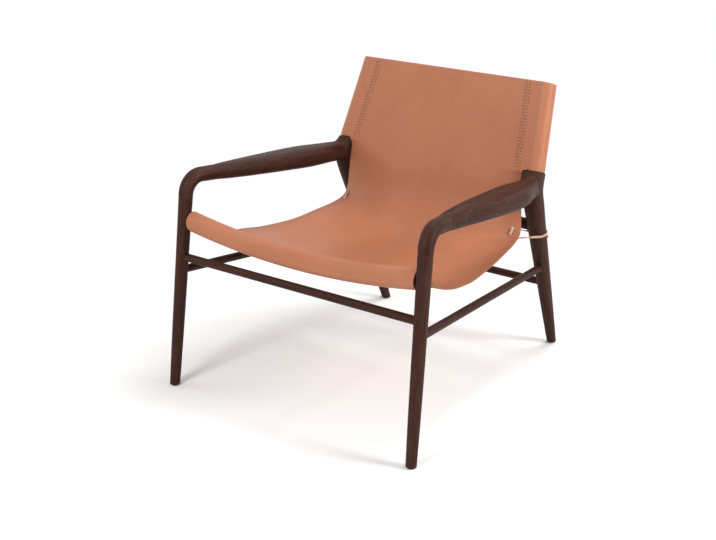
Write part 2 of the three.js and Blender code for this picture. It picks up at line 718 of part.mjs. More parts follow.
// A sheet of even thickness below a grid of points.
function sheetSolid(rows, thickness) {
  const rowCount = rows.length;
  const columnCount = rows[0].length;
  const within = (index, count) => Math.min(Math.max(index, 0), count - 1);
  const at = (row, column) => rows[within(row, rowCount)][within(column, columnCount)];
  const upper = rows.flat();
  const lower = [];
  for (let r = 0; r < rowCount; r += 1) {
    for (let c = 0; c < columnCount; c += 1) {
      const across = new Vector3().subVectors(at(r, c + 1), at(r, c - 1));
      const along = new Vector3().subVectors(at(r + 1, c), at(r - 1, c));
      const normal = across.cross(along).normalize();
      lower.push(at(r, c).clone().addScaledVector(normal, -thickness));
    }
  }
  const under = upper.length;
  const faces = [];
  const quad = (a, b, c, d) => faces.push(a, b, c, a, c, d);
  const index = (r, c) => r * columnCount + c;
  for (let r = 0; r < rowCount - 1; r += 1) {
    for (let c = 0; c < columnCount - 1; c += 1) {
      const corners = [index(r, c), index(r, c + 1), index(r + 1, c + 1), index(r + 1, c)];
      quad(...corners);
      quad(...corners.map((corner) => corner + under).reverse());
    }
    for (const c of [0, columnCount - 1]) {
      const [a, b] = c === 0 ? [index(r, c), index(r + 1, c)] : [index(r + 1, c), index(r, c)];
      quad(a, b, b + under, a + under);
    }
  }
  for (let c = 0; c < columnCount - 1; c += 1) {
    for (const r of [0, rowCount - 1]) {
      const [a, b] = r === 0 ? [index(r, c + 1), index(r, c)] : [index(r, c), index(r, c + 1)];
      quad(a, b, b + under, a + under);
    }
  }
  return solidOf(closedGeometry([...upper, ...lower], faces));
}

// The sleeve's leather round the post and back to the sheet, as a hook. In its drawing
// the post's axis is the origin, x runs inwards along the sheet and y runs backwards.
function sleeveSolid() {
  const outer = sleeveRadius;
  const inner = sleeveRadius - leather;
  const angle = radians(flapAngle);
  const inwards = (radius, depth) => {
    const run = (radius * Math.sin(angle) - depth) / Math.cos(angle);
    return radius * Math.cos(angle) + run * Math.sin(angle);
  };
  const sewnBack = leather - inner;
  const sewnFront = -inner - tuck;
  const flapEnd = inwards(outer, sewnBack) + flapWidth;
  const hookEnd = leather * 2;
  const outline = new Shape();
  outline.moveTo(hookEnd, tuck - outer);
  outline.absarc(0, 0, outer, radians(sleeveStartAngle - 90), angle - 2 * Math.PI, true);
  outline.lineTo(inwards(outer, sewnBack), sewnBack);
  outline.lineTo(flapEnd, sewnBack);
  outline.lineTo(flapEnd, sewnFront);
  outline.lineTo(inwards(inner, sewnFront), sewnFront);
  outline.absarc(0, 0, inner, angle - 2 * Math.PI, radians(sleeveInnerStartAngle - 90), false);
  outline.lineTo(hookEnd, sewnFront);
  outline.closePath();
  const top = slingTopAxis.clone().addScaledVector(backUp, -fitGap);
  const depth = new Vector3().subVectors(top, sleeveFoot).dot(backUp);
  const matrix = new Matrix4().makeBasis(xAxis.clone().negate(), backFront.clone().negate(), postPerUp);
  return solidOf(extruded(outline, depth, sleeveArcSteps), matrix.setPosition(sleeveFoot));
}

// A place on the sling near its left edge, with the direction that faces the sitter.
function slingPlace(inset, share) {
  const across = 1 - inset / widthView.getPoint(share).x;
  const point = seatPoint(across, share);
  const step = 0.01;
  const sideways = new Vector3().subVectors(seatPoint(across + step, share), seatPoint(across - step, share));
  const forwards = new Vector3().subVectors(seatPoint(across, share + step), seatPoint(across, share - step));
  return { point, facing: sideways.cross(forwards).normalize() };
}

const [lowerSlot, upperSlot] = slotShares.map((share, i) => slingPlace(slotInsets[i], share));
const slotRun = new Vector3().subVectors(upperSlot.point, lowerSlot.point).normalize();

// The direction along a slot, which is the direction across the strip in it.
const alongSlot = ({ facing }) => new Vector3().crossVectors(slotRun, facing).normalize();

function slotSolid(slot) {
  const r = laceHalfThickness + slotGap;
  const straight = laceHalfWidth - laceHalfThickness / 2;
  const outline = new Shape();
  outline.absarc(straight, 0, r, -Math.PI / 2, Math.PI / 2, false);
  outline.absarc(-straight, 0, r, Math.PI / 2, (3 * Math.PI) / 2, false);
  const depth = 2 * leather + cutOverrun;
  const across = alongSlot(slot);
  const along = new Vector3().crossVectors(slot.facing, across);
  const matrix = new Matrix4().makeBasis(across, along, slot.facing).setPosition(slot.point);
  return solidOf(extruded(outline, depth, smallSides / 2).translate(0, 0, -depth / 2), matrix);
}

const mirrorX = new Matrix4().makeScale(-1, 1, 1);
const withMirror = (geometry) => [solidOf(geometry), solidOf(geometry, mirrorX)];

function slingSolid() {
  const sleeves = withMirror(geometryOf(sleeveSolid()));
  const slots = [lowerSlot, upperSlot].flatMap((slot) => withMirror(geometryOf(slotSolid(slot))));
  const sheet = sleeves.reduce((joined, sleeve) => joined.add(sleeve), sheetSolid(slingRows(), leather));
  return without(sheet, [...slots, ...screwIndexes.map(screwHole)]);
}

// Lace: from the knot behind the rear leg, round its inner side, through the sling's upper
// slot, down to the lower one, back outside the leg and to the knot again.
const laceOffset = laceHalfThickness + fitGap * 1.5;
const legLean = Math.atan2(rearFootY - bendY, bendHeight);

// A point round the rear leg. 0 degrees is outwards, 90 is behind and 270 is in front.
function roundLeg(degrees, height) {
  const centre = rearAt(height);
  const radius = rearRadiusAt(height);
  const angle = radians(degrees);
  const sideways = (radius + laceOffset) * Math.cos(angle);
  const backwards = (radius / Math.cos(legLean) + laceOffset) * Math.sin(angle);
  return centre.add(new Vector3(sideways, backwards, 0));
}

// Stations of the lace where it lies on the rear leg: a point, and the direction across the strip.
function legArc(fromDegrees, toDegrees, fromHeight, toHeight) {
  const steps = Math.round(Math.abs(toDegrees - fromDegrees) / laceArcStep);
  return Array.from({ length: steps + 1 }, (_, i) => [
    roundLeg(mix(fromDegrees, toDegrees, i / steps), mix(fromHeight, toHeight, i / steps)),
    rearAxis,
  ]);
}

const offSling = ({ point, facing }, distance) => point.clone().addScaledVector(facing, distance);
const knotHeight = laceHeight + laceRise;
const knotDepth = knotRadius * knotShares[1];
const knotPlace = roundLeg(90, knotHeight).add(new Vector3(0, knotDepth - laceHalfThickness, 0));

function laceStations() {
  const lowerAcross = alongSlot(lowerSlot);
  const upperAcross = alongSlot(upperSlot);
  const behind = -leather - laceLoop;
  const near = (slot, other) => (
    offSling(slot, laceOffset + fitGap * 3).lerp(offSling(other, laceOffset), laceNearShare)
  );
  const stitchLift = laceOffset + laceBulge;
  const stitchMiddle = offSling(lowerSlot, stitchLift).lerp(offSling(upperSlot, stitchLift), 0.5);
  const besideLeg = legArc(...laceInnerArc, knotHeight, laceInnerHeight);
  const outsideLeg = legArc(...laceOuterArc, laceHeight, knotHeight);
  const [toUnder, underShare, toSlot] = laceInnerShares;
  const leaving = besideLeg.at(-1)[0];
  const upperBack = offSling(upperSlot, behind);
  const under = leaving.clone().lerp(upperBack, underShare);
  under.z = backRailHeight - backRailRadius - laceOffset - laceHalfThickness;
  const lowerBack = offSling(lowerSlot, behind);
  const outwards = laceOuterShares.map((share) => lowerBack.clone().lerp(outsideLeg[0][0], share));
  return [
    [knotPlace, rearAxis],
    ...besideLeg,
    [leaving.clone().lerp(under, toUnder), rearAxis],
    [under, xAxis],
    [under.clone().lerp(upperBack, toSlot), xAxis],
    [upperBack, upperAcross],
    [offSling(upperSlot, -leather / 2).addScaledVector(slotRun, slotGap / 2), upperAcross],
    [near(upperSlot, lowerSlot), upperAcross],
    [stitchMiddle, upperAcross],
    [near(lowerSlot, upperSlot), lowerAcross],
    [offSling(lowerSlot, -leather / 2).addScaledVector(slotRun, -slotGap / 2), lowerAcross],
    [lowerBack, lowerAcross],
    [outwards[0], xAxis],
    [outwards[1], xAxis],
    [outwards[2], rearAxis],
    ...outsideLeg,
    [knotPlace, rearAxis],
  ];
}

// A flat strip through stations.
function stripSolid(stations, steps) {
  const line = new THREE.CatmullRomCurve3(stations.map(([point]) => point), false, "centripetal");
  const rings = [];
  for (let i = 0; i <= steps; i += 1) {
    const share = i / steps;
    const place = share * (stations.length - 1);
    const before = Math.min(Math.floor(place), stations.length - 2);
    const across = new Vector3().lerpVectors(stations[before][1], stations[before + 1][1], place - before);
    const along = line.getTangent(share);
    across.addScaledVector(along, -across.dot(along)).normalize();
    const facing = new Vector3().crossVectors(along, across);
    rings.push([[1, 1], [-1, 1], [-1, -1], [1, -1]].map(([wide, thick]) => line.getPoint(share)
      .addScaledVector(across, wide * laceHalfWidth)
      .addScaledVector(facing, thick * laceHalfThickness)));
  }
  return solidOf(loft(rings));
}

function laceSolid() {
  const knot = new THREE.SphereGeometry(knotRadius, smallSides, smallSides / 2).scale(...knotShares);
  const hang = (side, share) => knotPlace.clone().addScaledVector(rearAxis, -laceTail * share)
    .add(new Vector3(side * laceHalfWidth * (1 + share * 2), laceHalfThickness * (1 + share), 0));
  const tails = [-1, 1].map((side) => stripSolid([
    [knotPlace, xAxis],
    [hang(side, 0.35), xAxis],
    [hang(side, 1), xAxis],
  ], laceTailSteps));
  const loop = stripSolid(laceStations(), laceSteps);
  return loop.add(solidOf(knot, new Matrix4().setPosition(knotPlace))).add(tails[0]).add(tails[1]);
}

function surface(color, roughness, metalness = 0) {
  return new THREE.MeshStandardMaterial({ color, roughness, metalness });
}

const smokedOak = () => surface(0x46302a, 0.55);
const tanLeather = () => surface(0xbe7858, 0.5);
const paleLace = () => surface(0xd8b496, 0.6);
const beech = () => surface(0xc9a57a, 0.7);
const steel = () => surface(0x9a9a98, 0.35, 0.9);
const nylon = () => surface(0x2b2826, 0.6);

function piece(name, geometry, material, matrix) {
  const flatShaded = geometry.clone();
  flatShaded.computeVertexNormals();
  const mesh = new THREE.Mesh(flatShaded, material);
  mesh.name = name;
  if (matrix) mesh.applyMatrix4(matrix);
  return mesh;
}

const shared = {
  frontLeg: geometryOf(frontLegSolid()),
  elbow: geometryOf(elbowSolid()),
  armrest: geometryOf(armrestSolid()),
  rearLeg: geometryOf(rearLegSolid()),
  backPost: geometryOf(backPostSolid()),
  lace: geometryOf(laceSolid()),
};

// One side of the chair, modelled on the left. The right side is its mirror image.
function sideGroup(side) {
  const group = new THREE.Group();
  group.add(
    piece("front_leg_" + side, shared.frontLeg, smokedOak()),
    piece("elbow_" + side, shared.elbow, smokedOak()),
    piece("armrest_" + side, shared.armrest, smokedOak()),
    piece("rear_leg_" + side, shared.rearLeg, smokedOak()),
    piece("back_post_" + side, shared.backPost, smokedOak()),
    piece("side_stretcher_" + side, sideStretcher.geometry, smokedOak(), sideStretcher.matrix),
    piece("leg_dowel_" + side, dowelGeometry, beech(), legDowelMatrix),
    piece("arm_dowel_" + side, dowelGeometry, beech(), armDowelMatrix),
    piece("arm_tenon_" + side, looseTenon(), beech(), looseTenonMatrix),
    piece("lace_" + side, shared.lace, paleLace()),
  );
  for (const [end, foot] of [["front", frontAt(glideThickness)], ["rear", rearAt(glideThickness)]]) {
    const glide = piece("glide_" + end + "_" + side, glideGeometry(), nylon());
    glide.rotateX(Math.PI / 2);
    glide.position.set(foot.x, foot.y, 0);
    group.add(glide);
  }
  if (side === "right") group.scale.set(-1, 1, 1);
  return group;
}

const chair = new THREE.Group();
chair.add(
  sideGroup("left"),
  sideGroup("right"),
  piece("front_rail", geometryOf(frontRailSolid()), smokedOak()),
  piece("back_rail", backRail.geometry, smokedOak(), backRail.matrix),
  piece("front_stretcher", frontStretcher.geometry, smokedOak(), frontStretcher.matrix),
  piece("rear_stretcher", rearStretcher.geometry, smokedOak(), rearStretcher.matrix),
  piece("sling", geometryOf(slingSolid()), tanLeather()),
  ...screwIndexes.map((index) => (
    piece("sling_screw_" + (index + 1), screwGeometry(), steel(), screwMatrix(index))
  )),
);

export default chair;
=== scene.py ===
from math import asin, atan2, copysign, cos, pi, radians, sin, sqrt, tan
import bpy
from mathutils import Matrix, Vector
from mathutils.bvhtree import BVHTree


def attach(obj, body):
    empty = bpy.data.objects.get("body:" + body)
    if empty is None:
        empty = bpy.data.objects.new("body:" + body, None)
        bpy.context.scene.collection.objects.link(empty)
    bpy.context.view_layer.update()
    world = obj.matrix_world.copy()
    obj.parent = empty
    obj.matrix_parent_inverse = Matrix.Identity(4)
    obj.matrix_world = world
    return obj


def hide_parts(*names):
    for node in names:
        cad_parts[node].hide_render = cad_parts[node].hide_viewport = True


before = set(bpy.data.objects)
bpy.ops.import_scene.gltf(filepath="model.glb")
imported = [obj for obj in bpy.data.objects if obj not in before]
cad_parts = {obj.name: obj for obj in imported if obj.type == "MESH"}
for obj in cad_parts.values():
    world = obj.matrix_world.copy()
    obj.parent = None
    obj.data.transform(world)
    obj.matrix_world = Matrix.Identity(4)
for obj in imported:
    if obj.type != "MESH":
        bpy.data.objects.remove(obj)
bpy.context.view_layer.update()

print("frame loaded:", len(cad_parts), "nodes")


# Small helpers
xAxis, yAxis, zAxis = Vector((1, 0, 0)), Vector((0, 1, 0)), Vector((0, 0, 1))


def mixed(a, b, share):
    return a + (b - a) * share


def clamped(share):
    return min(1, max(0, share))


def risen(value, low, high):
    # 0 below low and 1 above high, with a smooth rise between them
    share = clamped((value - low) / (high - low))
    return share * share * (3 - 2 * share)


def eased(shares, place):
    # a table of (place, value) pairs, read along a smooth line through its entries
    if place <= shares[0][0]:
        return shares[0][1]
    if place >= shares[-1][0]:
        return shares[-1][1]
    i = next(k for k in range(1, len(shares)) if shares[k][0] > place)
    (x0, y0), (x1, y1) = shares[i - 1], shares[i]
    before, after = shares[max(i - 2, 0)], shares[min(i + 1, len(shares) - 1)]
    startSlope = (y1 - before[1]) / (x1 - before[0])
    endSlope = (after[1] - y0) / (after[0] - x0)
    width = x1 - x0
    t = (place - x0) / width
    return ((2 * t**3 - 3 * t**2 + 1) * y0 + (t**3 - 2 * t**2 + t) * width * startSlope
            + (3 * t**2 - 2 * t**3) * y1 + (t**3 - t**2) * width * endSlope)


def throughPoints(points, share):
    # a place on the smooth curve through points, which are evenly spaced in share
    # the last entry lies beyond the curve's end and only guides it
    place = share * (len(points) - 2)
    i = min(int(place), len(points) - 3)
    t = place - i
    p0, p1, p2, p3 = points[max(i - 1, 0)], points[i], points[i + 1], points[i + 2]
    return 0.5 * (2 * p1 + (p2 - p0) * t + (2 * p0 - 5 * p1 + 4 * p2 - p3) * t**2
                  + (3 * p1 - p0 - 3 * p2 + p3) * t**3)


def straight(start, end, steps):
    return [start.lerp(end, i / steps) for i in range(steps + 1)]


def bezier(p0, p1, p2, p3, steps):
    points = []
    for i in range(steps + 1):
        t = i / steps
        points.append((1 - t)**3 * p0 + 3 * t * (1 - t)**2 * p1 + 3 * t * t * (1 - t) * p2 + t**3 * p3)
    return points


def roundedCorner(before, corner, after, radius, steps):
    # a round bend from a line along before to a line along after
    turn = before.angle(after)
    reach = radius * tan(turn / 2)
    handle = 4 / 3 * tan(turn / 4) * radius
    first, last = corner - before * reach, corner + after * reach
    return bezier(first, first + before * handle, last - after * handle, last, steps)


def bent(start, corner, end, radius, straightSteps, bendSteps):
    # two straight lines with a round bend between them
    before, after = (corner - start).normalized(), (end - corner).normalized()
    bend = roundedCorner(before, corner, after, radius, bendSteps)
    low, high = straight(start, bend[0], straightSteps), straight(bend[-1], end, straightSteps)
    return low[:-1] + bend[:-1] + high


def arc(radius, degrees):
    return [(radius * cos(radians(d)), radius * sin(radians(d))) for d in degrees]


def pathLength(points):
    return sum((b - a).length for a, b in zip(points, points[1:]))


def tangentsAlong(points):
    last = len(points) - 1
    return [(points[min(i + 1, last)] - points[max(i - 1, 0)]).normalized() for i in range(last + 1)]


def squareTo(direction, along):
    return (direction - along * direction.dot(along)).normalized()


def skin(rows, wide, base=0, closed=True):
    # quads between rows of points, where each row is a closed ring or an open line
    faces = []
    for r in range(rows - 1):
        for k in range(wide if closed else wide - 1):
            a, b = base + r * wide + k, base + r * wide + (k + 1) % wide
            faces.append((a, b, b + wide, a + wide))
    return faces


def tube(rows, wide, base=0):
    # rings of points with a flat face on each end
    last = base + (rows - 1) * wide
    ends = [tuple(range(base, base + wide))[::-1], tuple(range(last, last + wide))]
    return skin(rows, wide, base) + ends


def mirrored(points):
    return [Vector((-p.x, p.y, p.z)) for p in points]


def change(target, **settings):
    for key, value in settings.items():
        setattr(target, key, value)


def placed(name, data):
    obj = bpy.data.objects.new(name, data)
    bpy.context.scene.collection.objects.link(obj)
    return obj


def newMesh(name, points, edges, faces):
    mesh = bpy.data.meshes.new(name)
    mesh.from_pydata([tuple(p) for p in points], edges, faces)
    return mesh


def newPiece(name, points, faces, smooth=35, flipped=False):
    mesh = newMesh(name, points, [], [tuple(reversed(f)) if flipped else f for f in faces])
    mesh.update()
    mesh.shade_smooth()
    mesh.set_sharp_from_angle(angle=radians(smooth))
    return placed(name, mesh)


def setAttribute(obj, name, kind, key, values):
    layer = obj.data.attributes.new(name, kind, "POINT")
    for i, value in enumerate(values):
        setattr(layer.data[i], key, value)


def modify(obj, kind, **settings):
    change(obj.modifiers.new(kind.title(), kind), **settings)


def declare(obj, nodes):
    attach(obj, "root")
    if nodes:
        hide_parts(*nodes)


def flatten(obj):
    # turns a piece with live modifiers into a plain mesh
    view = bpy.context.evaluated_depsgraph_get()
    plain = bpy.data.meshes.new_from_object(obj.evaluated_get(view))
    obj.modifiers.clear()
    obj.data = plain


# Camera: where the photograph was taken from, found by fitting points on the frame
camera = {
    "place": Vector((1.76547, -2.50794, 1.41056)),
    "azimuth": 36.3767,
    "elevation": 20.4745,
    "roll": 0.0456,
    "lens": 65.39,
    "sensor": 36.0,
}


def makeCamera():
    a, e, roll = [radians(camera[key]) for key in ("azimuth", "elevation", "roll")]
    back = Vector((sin(a) * cos(e), -cos(a) * cos(e), sin(e)))
    right = Vector((cos(a), sin(a), 0))
    turn = Matrix((right, back.cross(right), back)).transposed() @ Matrix.Rotation(roll, 3, "Z")
    data = bpy.data.cameras.new("photoCamera")
    change(data, lens=camera["lens"], sensor_width=camera["sensor"], sensor_fit="HORIZONTAL")
    obj = placed("photoCamera", data)
    obj.matrix_world = Matrix.Translation(camera["place"]) @ turn.to_4x4()
    bpy.context.scene.camera = obj


makeCamera()


# Materials
class Nodes:
    # adds nodes to a tree: a value that is a socket gets linked, and any other is set
    def __init__(self, tree):
        self.tree = tree

    def add(self, kind, values=None, **settings):
        node = self.tree.nodes.new(kind)
        change(node, **settings)
        for key, value in (values or {}).items():
            socket = node.inputs[key]
            if isinstance(value, bpy.types.NodeSocket):
                self.tree.links.new(value, socket)
            else:
                socket.default_value = value
        return node

    def get(self, kind, values=None, output=0, **settings):
        return self.add(kind, values, **settings).outputs[output]

    def link(self, output, socket):
        self.tree.links.new(output, socket)

    def objectPlace(self):
        return self.get("ShaderNodeTexCoord", output="Object")

    def ramp(self, factor, stops):
        node = self.add("ShaderNodeValToRGB", {"Fac": factor})
        elements = node.color_ramp.elements
        while len(elements) < len(stops):
            elements.new(0.5)
        for element, (place, color) in zip(elements, stops):
            change(element, position=place, color=(*color, 1))
        return node.outputs["Color"]

    def maths(self, operation, a, b=0.5, c=0.5):
        return self.get("ShaderNodeMath", {0: a, 1: b, 2: c}, operation=operation)

    def blend(self, first, second, share):
        return self.maths("MULTIPLY_ADD", first, share, self.maths("MULTIPLY", second, 1 - share))

    def noise(self, place, scale, detail, roughness, distortion=0.0):
        return self.get("ShaderNodeTexNoise", {
            "Vector": place, "Scale": scale, "Detail": detail, "Roughness": roughness,
            "Distortion": distortion}, "Fac")

    def ranged(self, value, old, new, **settings):
        return self.get("ShaderNodeMapRange", {
            "Value": value, "From Min": old[0], "From Max": old[1],
            "To Min": new[0], "To Max": new[1]}, **settings)

    def bump(self, height, distance, strength=0.5, normal=None, invert=False):
        values = {"Height": height, "Distance": distance, "Strength": strength}
        if normal is not None:
            values["Normal"] = normal
        return self.get("ShaderNodeBump", values, invert=invert)


def newMaterial(name, color, roughness, metallic=0.0, specular=0.5):
    material = bpy.data.materials.new(name)
    change(material, use_nodes=True, diffuse_color=(*color, 1))
    sockets = material.node_tree.nodes["Principled BSDF"].inputs
    for key, value in (("Base Color", (*color, 1)), ("Roughness", roughness), ("Metallic", metallic),
                       ("Specular IOR Level", specular)):
        sockets[key].default_value = value
    return material, Nodes(material.node_tree), sockets


smokedWood = {
    "dark": (0.0250, 0.0092, 0.0060),
    "middle": (0.0420, 0.0160, 0.0108),
    "light": (0.0640, 0.0255, 0.0170),
    "tonePlaces": (0.34, 0.58, 0.84),
    "streaks": (52, 52, 2.2),           # per metre: across, across and along the grain
    "streakNoise": (3.0, 0.55, 0.6),    # detail, roughness and distortion
    "streakShare": 0.72,                # the rest of the tone comes from the pores
    "pores": (620, 620, 16),
    "poreNoise": (2.0, 0.6),
    "poreRange": (0.36, 0.56),
    "poreDepth": 0.00008,
    "roughness": (0.44, 0.56),
    "plainRoughness": 0.5,
    "specular": 0.09,
}


def makeWood(name, tones, alongPiece):
    material, nodes, sockets = newMaterial(name, tones["middle"], tones["plainRoughness"],
                                           specular=tones["specular"])
    if alongPiece:
        place = nodes.get("ShaderNodeAttribute", output="Vector", attribute_name="grain")
    else:
        place = nodes.objectPlace()

    def along(scale, noise):
        drawn = nodes.get("ShaderNodeMapping", {"Vector": place, "Scale": tones[scale]})
        return nodes.noise(drawn, 1.0, *tones[noise])

    streaks, pores = along("streaks", "streakNoise"), along("pores", "poreNoise")
    porous = nodes.ranged(pores, tones["poreRange"], (0.0, 1.0))
    tone = nodes.blend(streaks, porous, tones["streakShare"])
    colors = [tones[key] for key in ("dark", "middle", "light")]
    nodes.link(nodes.ramp(tone, list(zip(tones["tonePlaces"], colors))), sockets["Base Color"])
    nodes.link(nodes.ranged(porous, (0.0, 1.0), tones["roughness"][::-1]), sockets["Roughness"])
    nodes.link(nodes.bump(porous, tones["poreDepth"]), sockets["Normal"])
    return material


saddleLeather = {
    "shade": (0.362, 0.133, 0.067),
    "color": (0.392, 0.148, 0.076),
    "tint": (0.420, 0.164, 0.087),
    "tonePlaces": (0.3, 0.5, 0.72),
    "blotch": (5.5, 2.0, 0.5),      # per metre, detail and roughness
    "blotchShare": 0.6,             # the rest of the tone comes from the clouds
    "cloud": (26, 5.0, 0.6),
    "cloudRange": (0.3, 0.7),
    "grain": 900,
    "grainDepth": 0.00006,
    "wave": (14, 2.0, 0.5),
    "waveDepth": 0.0009,
    "roughness": (0.40, 0.50),
    "plainRoughness": 0.46,
    "specular": 0.22,
    "seamRows": (0.0326, 0.0426),   # from the post's axis
    "seamWidth": 0.0022,
    "seamDepth": 0.00012,
    "seamStrength": 0.8,
    # painted shade along the stitch grooves: how much of the shade colour below is mixed in
    "paintedSeamShade": 0.04,
    "seamShadeColor": (0.215, 0.098, 0.052),
    "fleshColor": (0.40, 0.185, 0.105),
    "edgeColor": (0.27, 0.115, 0.064),
}


def makeLeather():
    tones = saddleLeather
    material, nodes, sockets = newMaterial("saddleLeather", tones["color"], tones["plainRoughness"],
                                           specular=tones["specular"])
    place = nodes.objectPlace()
    blotch, cloud, wave = [nodes.noise(place, *tones[key]) for key in ("blotch", "cloud", "wave")]
    tone = nodes.blend(blotch, cloud, tones["blotchShare"])
    colors = [tones[key] for key in ("shade", "color", "tint")]
    color = nodes.ramp(tone, list(zip(tones["tonePlaces"], colors)))
    fromPost = nodes.get("ShaderNodeAttribute", output="Fac", attribute_name="fromPost")
    grooves = []
    for row in tones["seamRows"]:
        away = nodes.maths("ABSOLUTE", nodes.maths("SUBTRACT", fromPost, row))
        grooves.append(nodes.ranged(away, (0.0, tones["seamWidth"]), (1.0, 0.0)))
    groove = nodes.maths("MAXIMUM", *grooves)
    # painted shade: the leather's colour is darkened a little along the stitch grooves
    shade = nodes.maths("MULTIPLY", groove, tones["paintedSeamShade"])
    # a Mix node has its color sockets last
    nodes.link(nodes.get("ShaderNodeMix", {"Factor": shade, 6: color, 7: (*tones["seamShadeColor"], 1)}, 2,
                         data_type="RGBA"), sockets["Base Color"])
    grain = nodes.get("ShaderNodeTexVoronoi", {"Vector": place, "Scale": tones["grain"]}, "Distance",
                      feature="SMOOTH_F1")
    relief = nodes.bump(wave, tones["waveDepth"])
    relief = nodes.bump(grain, tones["grainDepth"], normal=relief)
    relief = nodes.bump(groove, tones["seamDepth"], tones["seamStrength"], relief, True)
    nodes.link(relief, sockets["Normal"])
    nodes.link(nodes.ranged(cloud, tones["cloudRange"], tones["roughness"]), sockets["Roughness"])
    return material


def speckle(nodes, sockets, color, noise, tones, depth, strength):
    # a color that changes a little from place to place, with a relief from the same noise
    factor = nodes.noise(nodes.objectPlace(), *noise)
    dark, light = [tuple(min(1, c * tone) for c in color) for tone in tones]
    nodes.link(nodes.ramp(factor, [(0.3, dark), (0.7, light)]), sockets["Base Color"])
    nodes.link(nodes.bump(factor, depth, strength), sockets["Normal"])
    return factor


def makeSuede(name, color, depth, scale):
    material, nodes, sockets = newMaterial(name, color, 0.85, specular=0.2)
    speckle(nodes, sockets, color, (scale, 6.0, 0.7), (0.8, 1.15), depth, 0.6)
    return material


def makePlain(name, color, roughness, metallic, scale, depth):
    material, nodes, sockets = newMaterial(name, color, roughness, metallic)
    factor = speckle(nodes, sockets, color, (scale, 4.0, 0.5), (0.85, 1.0), depth, 0.5)
    rough = nodes.ranged(factor, (0.0, 1.0), (roughness * 0.8, roughness * 1.2))
    nodes.link(rough, sockets["Roughness"])
    return material


paleWood = dict(smokedWood, dark=(0.42, 0.27, 0.15), middle=(0.56, 0.39, 0.24), light=(0.66, 0.49, 0.33))
wood = makeWood("smokedWood", smokedWood, True)
beech = makeWood("paleWood", paleWood, False)
leather = makeLeather()
flesh = makeSuede("fleshSide", saddleLeather["fleshColor"], 0.0003, 700)
cutEdge = makeSuede("cutEdge", saddleLeather["edgeColor"], 0.0002, 1500)
laceLeather = makeSuede("laceLeather", (0.53, 0.330, 0.245), 0.00015, 1800)
# painted shade: near-black walls for the lace slots, standing in for the shade inside them
slotShade = makeSuede("slotShade", (0.060, 0.025, 0.015), 0.0002, 1500)
thread = makeSuede("thread", (0.56, 0.29, 0.18), 0.0001, 4000)
# painted shade: the dark of the needle holes, put on the dimples at each stitch's ends
needleHoleShade = makeSuede("needleHoleShade", (0.080, 0.033, 0.020), 0.0001, 4000)
steel = makePlain("satinSteel", (0.56, 0.56, 0.55), 0.32, 1.0, 900, 0.00001)
nylon = makePlain("blackNylon", (0.028, 0.026, 0.025), 0.55, 0.0, 700, 0.00004)
print("materials made")


# The wooden frame: one swept piece for each part, with the grain running along it
lines = {
    "frontFoot": Vector((0.3576, -0.3995, 0)),
    "frontTop": Vector((0.3465, -0.3410, 0.480)),
    "rearFoot": Vector((0.2728, 0.4006, 0)),
    "bend": Vector((0.2900, 0.2184, 0.4725)),
    "postTop": Vector((0.2620, 0.3186, 0.722)),
    "headTopHeight": 0.5175,
    "slingTopHeight": 0.729,
    "gap": 0.0003,
    "glide": 0.0025,
    "seam": 0.00003,                # half the gap that shows in a glued joint
    "seamRound": 0.00012,
    "endRoom": 1.2,                 # how far the swept rings stay off a rounded end, in roundings
}
frontLeg = {
    "footRadius": 0.0127, "topRadius": 0.0174, "footRound": 0.0025,
    "overrun": 0.02,                # how far its line runs on below the floor, as a share of its length
    "steps": 70,
    "swell": [(0, 0), (0.12, 0.2), (0.3, 0.42), (0.5, 0.58), (0.72, 0.72), (0.88, 0.86), (1, 1)],
}
rearLeg = {
    "footRadius": 0.0121, "bendRadius": 0.0253, "headRadius": 0.0265, "headBend": 0.062, "headPower": 3.0,
    "headRound": 0.0042, "cornerRound": 0.0058, "cornerPower": 4,   # the corner is the inner one in front
    "headLean": 0.0022, "leanFrom": 0.42, "leanTo": 0.48,   # the head leans inwards above the bend
    "headTiltShare": 0.70,          # how far its top is tilted back, as a share of the post's tilt
    "footOverrun": 0.008, "headOverrun": 0.03, "steps": (46, 24),   # of the straight, and of the bend
    "fineFrom": 0.42, "fineSteps": 5,   # closer steps where the armrest spreads into the leg
    "swell": [(0, 0), (0.12, 0.16), (0.28, 0.34), (0.5, 0.57), (0.72, 0.79), (0.88, 0.92), (1, 1)],
}
elbow = {
    "pitchHeight": 0.5295, "bendRadius": 0.045, "joint": Vector((0.3336, -0.247, 0.5225)),
    "halfWidth": 0.021, "halfHeight": 0.0182, "power": 2.2,
    "steps": (10, 26),              # of the straight, and of the bend
}
armrest = {
    "endHeight": 0.484, "halfWidth": 0.0455, "halfHeight": 0.0252, "power": 2.8, "powerRise": 3,
    "steps": 230,
    "frontHandle": 0.150, "rearHandle": 0.176, "rearFlare": 0.033, "rearRise": 0.011,
    "width": [(0, 0), (0.07, 0.24), (0.14, 0.36), (0.27, 0.64), (0.4, 0.83), (0.52, 0.93),
              (0.62, 1), (0.7, 0.99), (0.77, 0.78), (0.84, 0.47), (0.92, 0.2), (1, 0.02)],
    "height": [(0, 0), (0.08, 0.25), (0.2, 0.48), (0.34, 0.6), (0.5, 0.85), (0.62, 1), (0.8, 0.94),
               (1, 0.98)],
    # how widely the armrest spreads into the rear leg: under it, above it, and between which heights
    "spreadUnder": 0.005, "spreadAbove": 0.016, "spreadFrom": 0.466, "spreadTo": 0.500,
    "spreadFade": 0.006, "spreadPasses": 6,
    "ownShare": 0.999,              # from here on a point keeps the normal of its own part
}
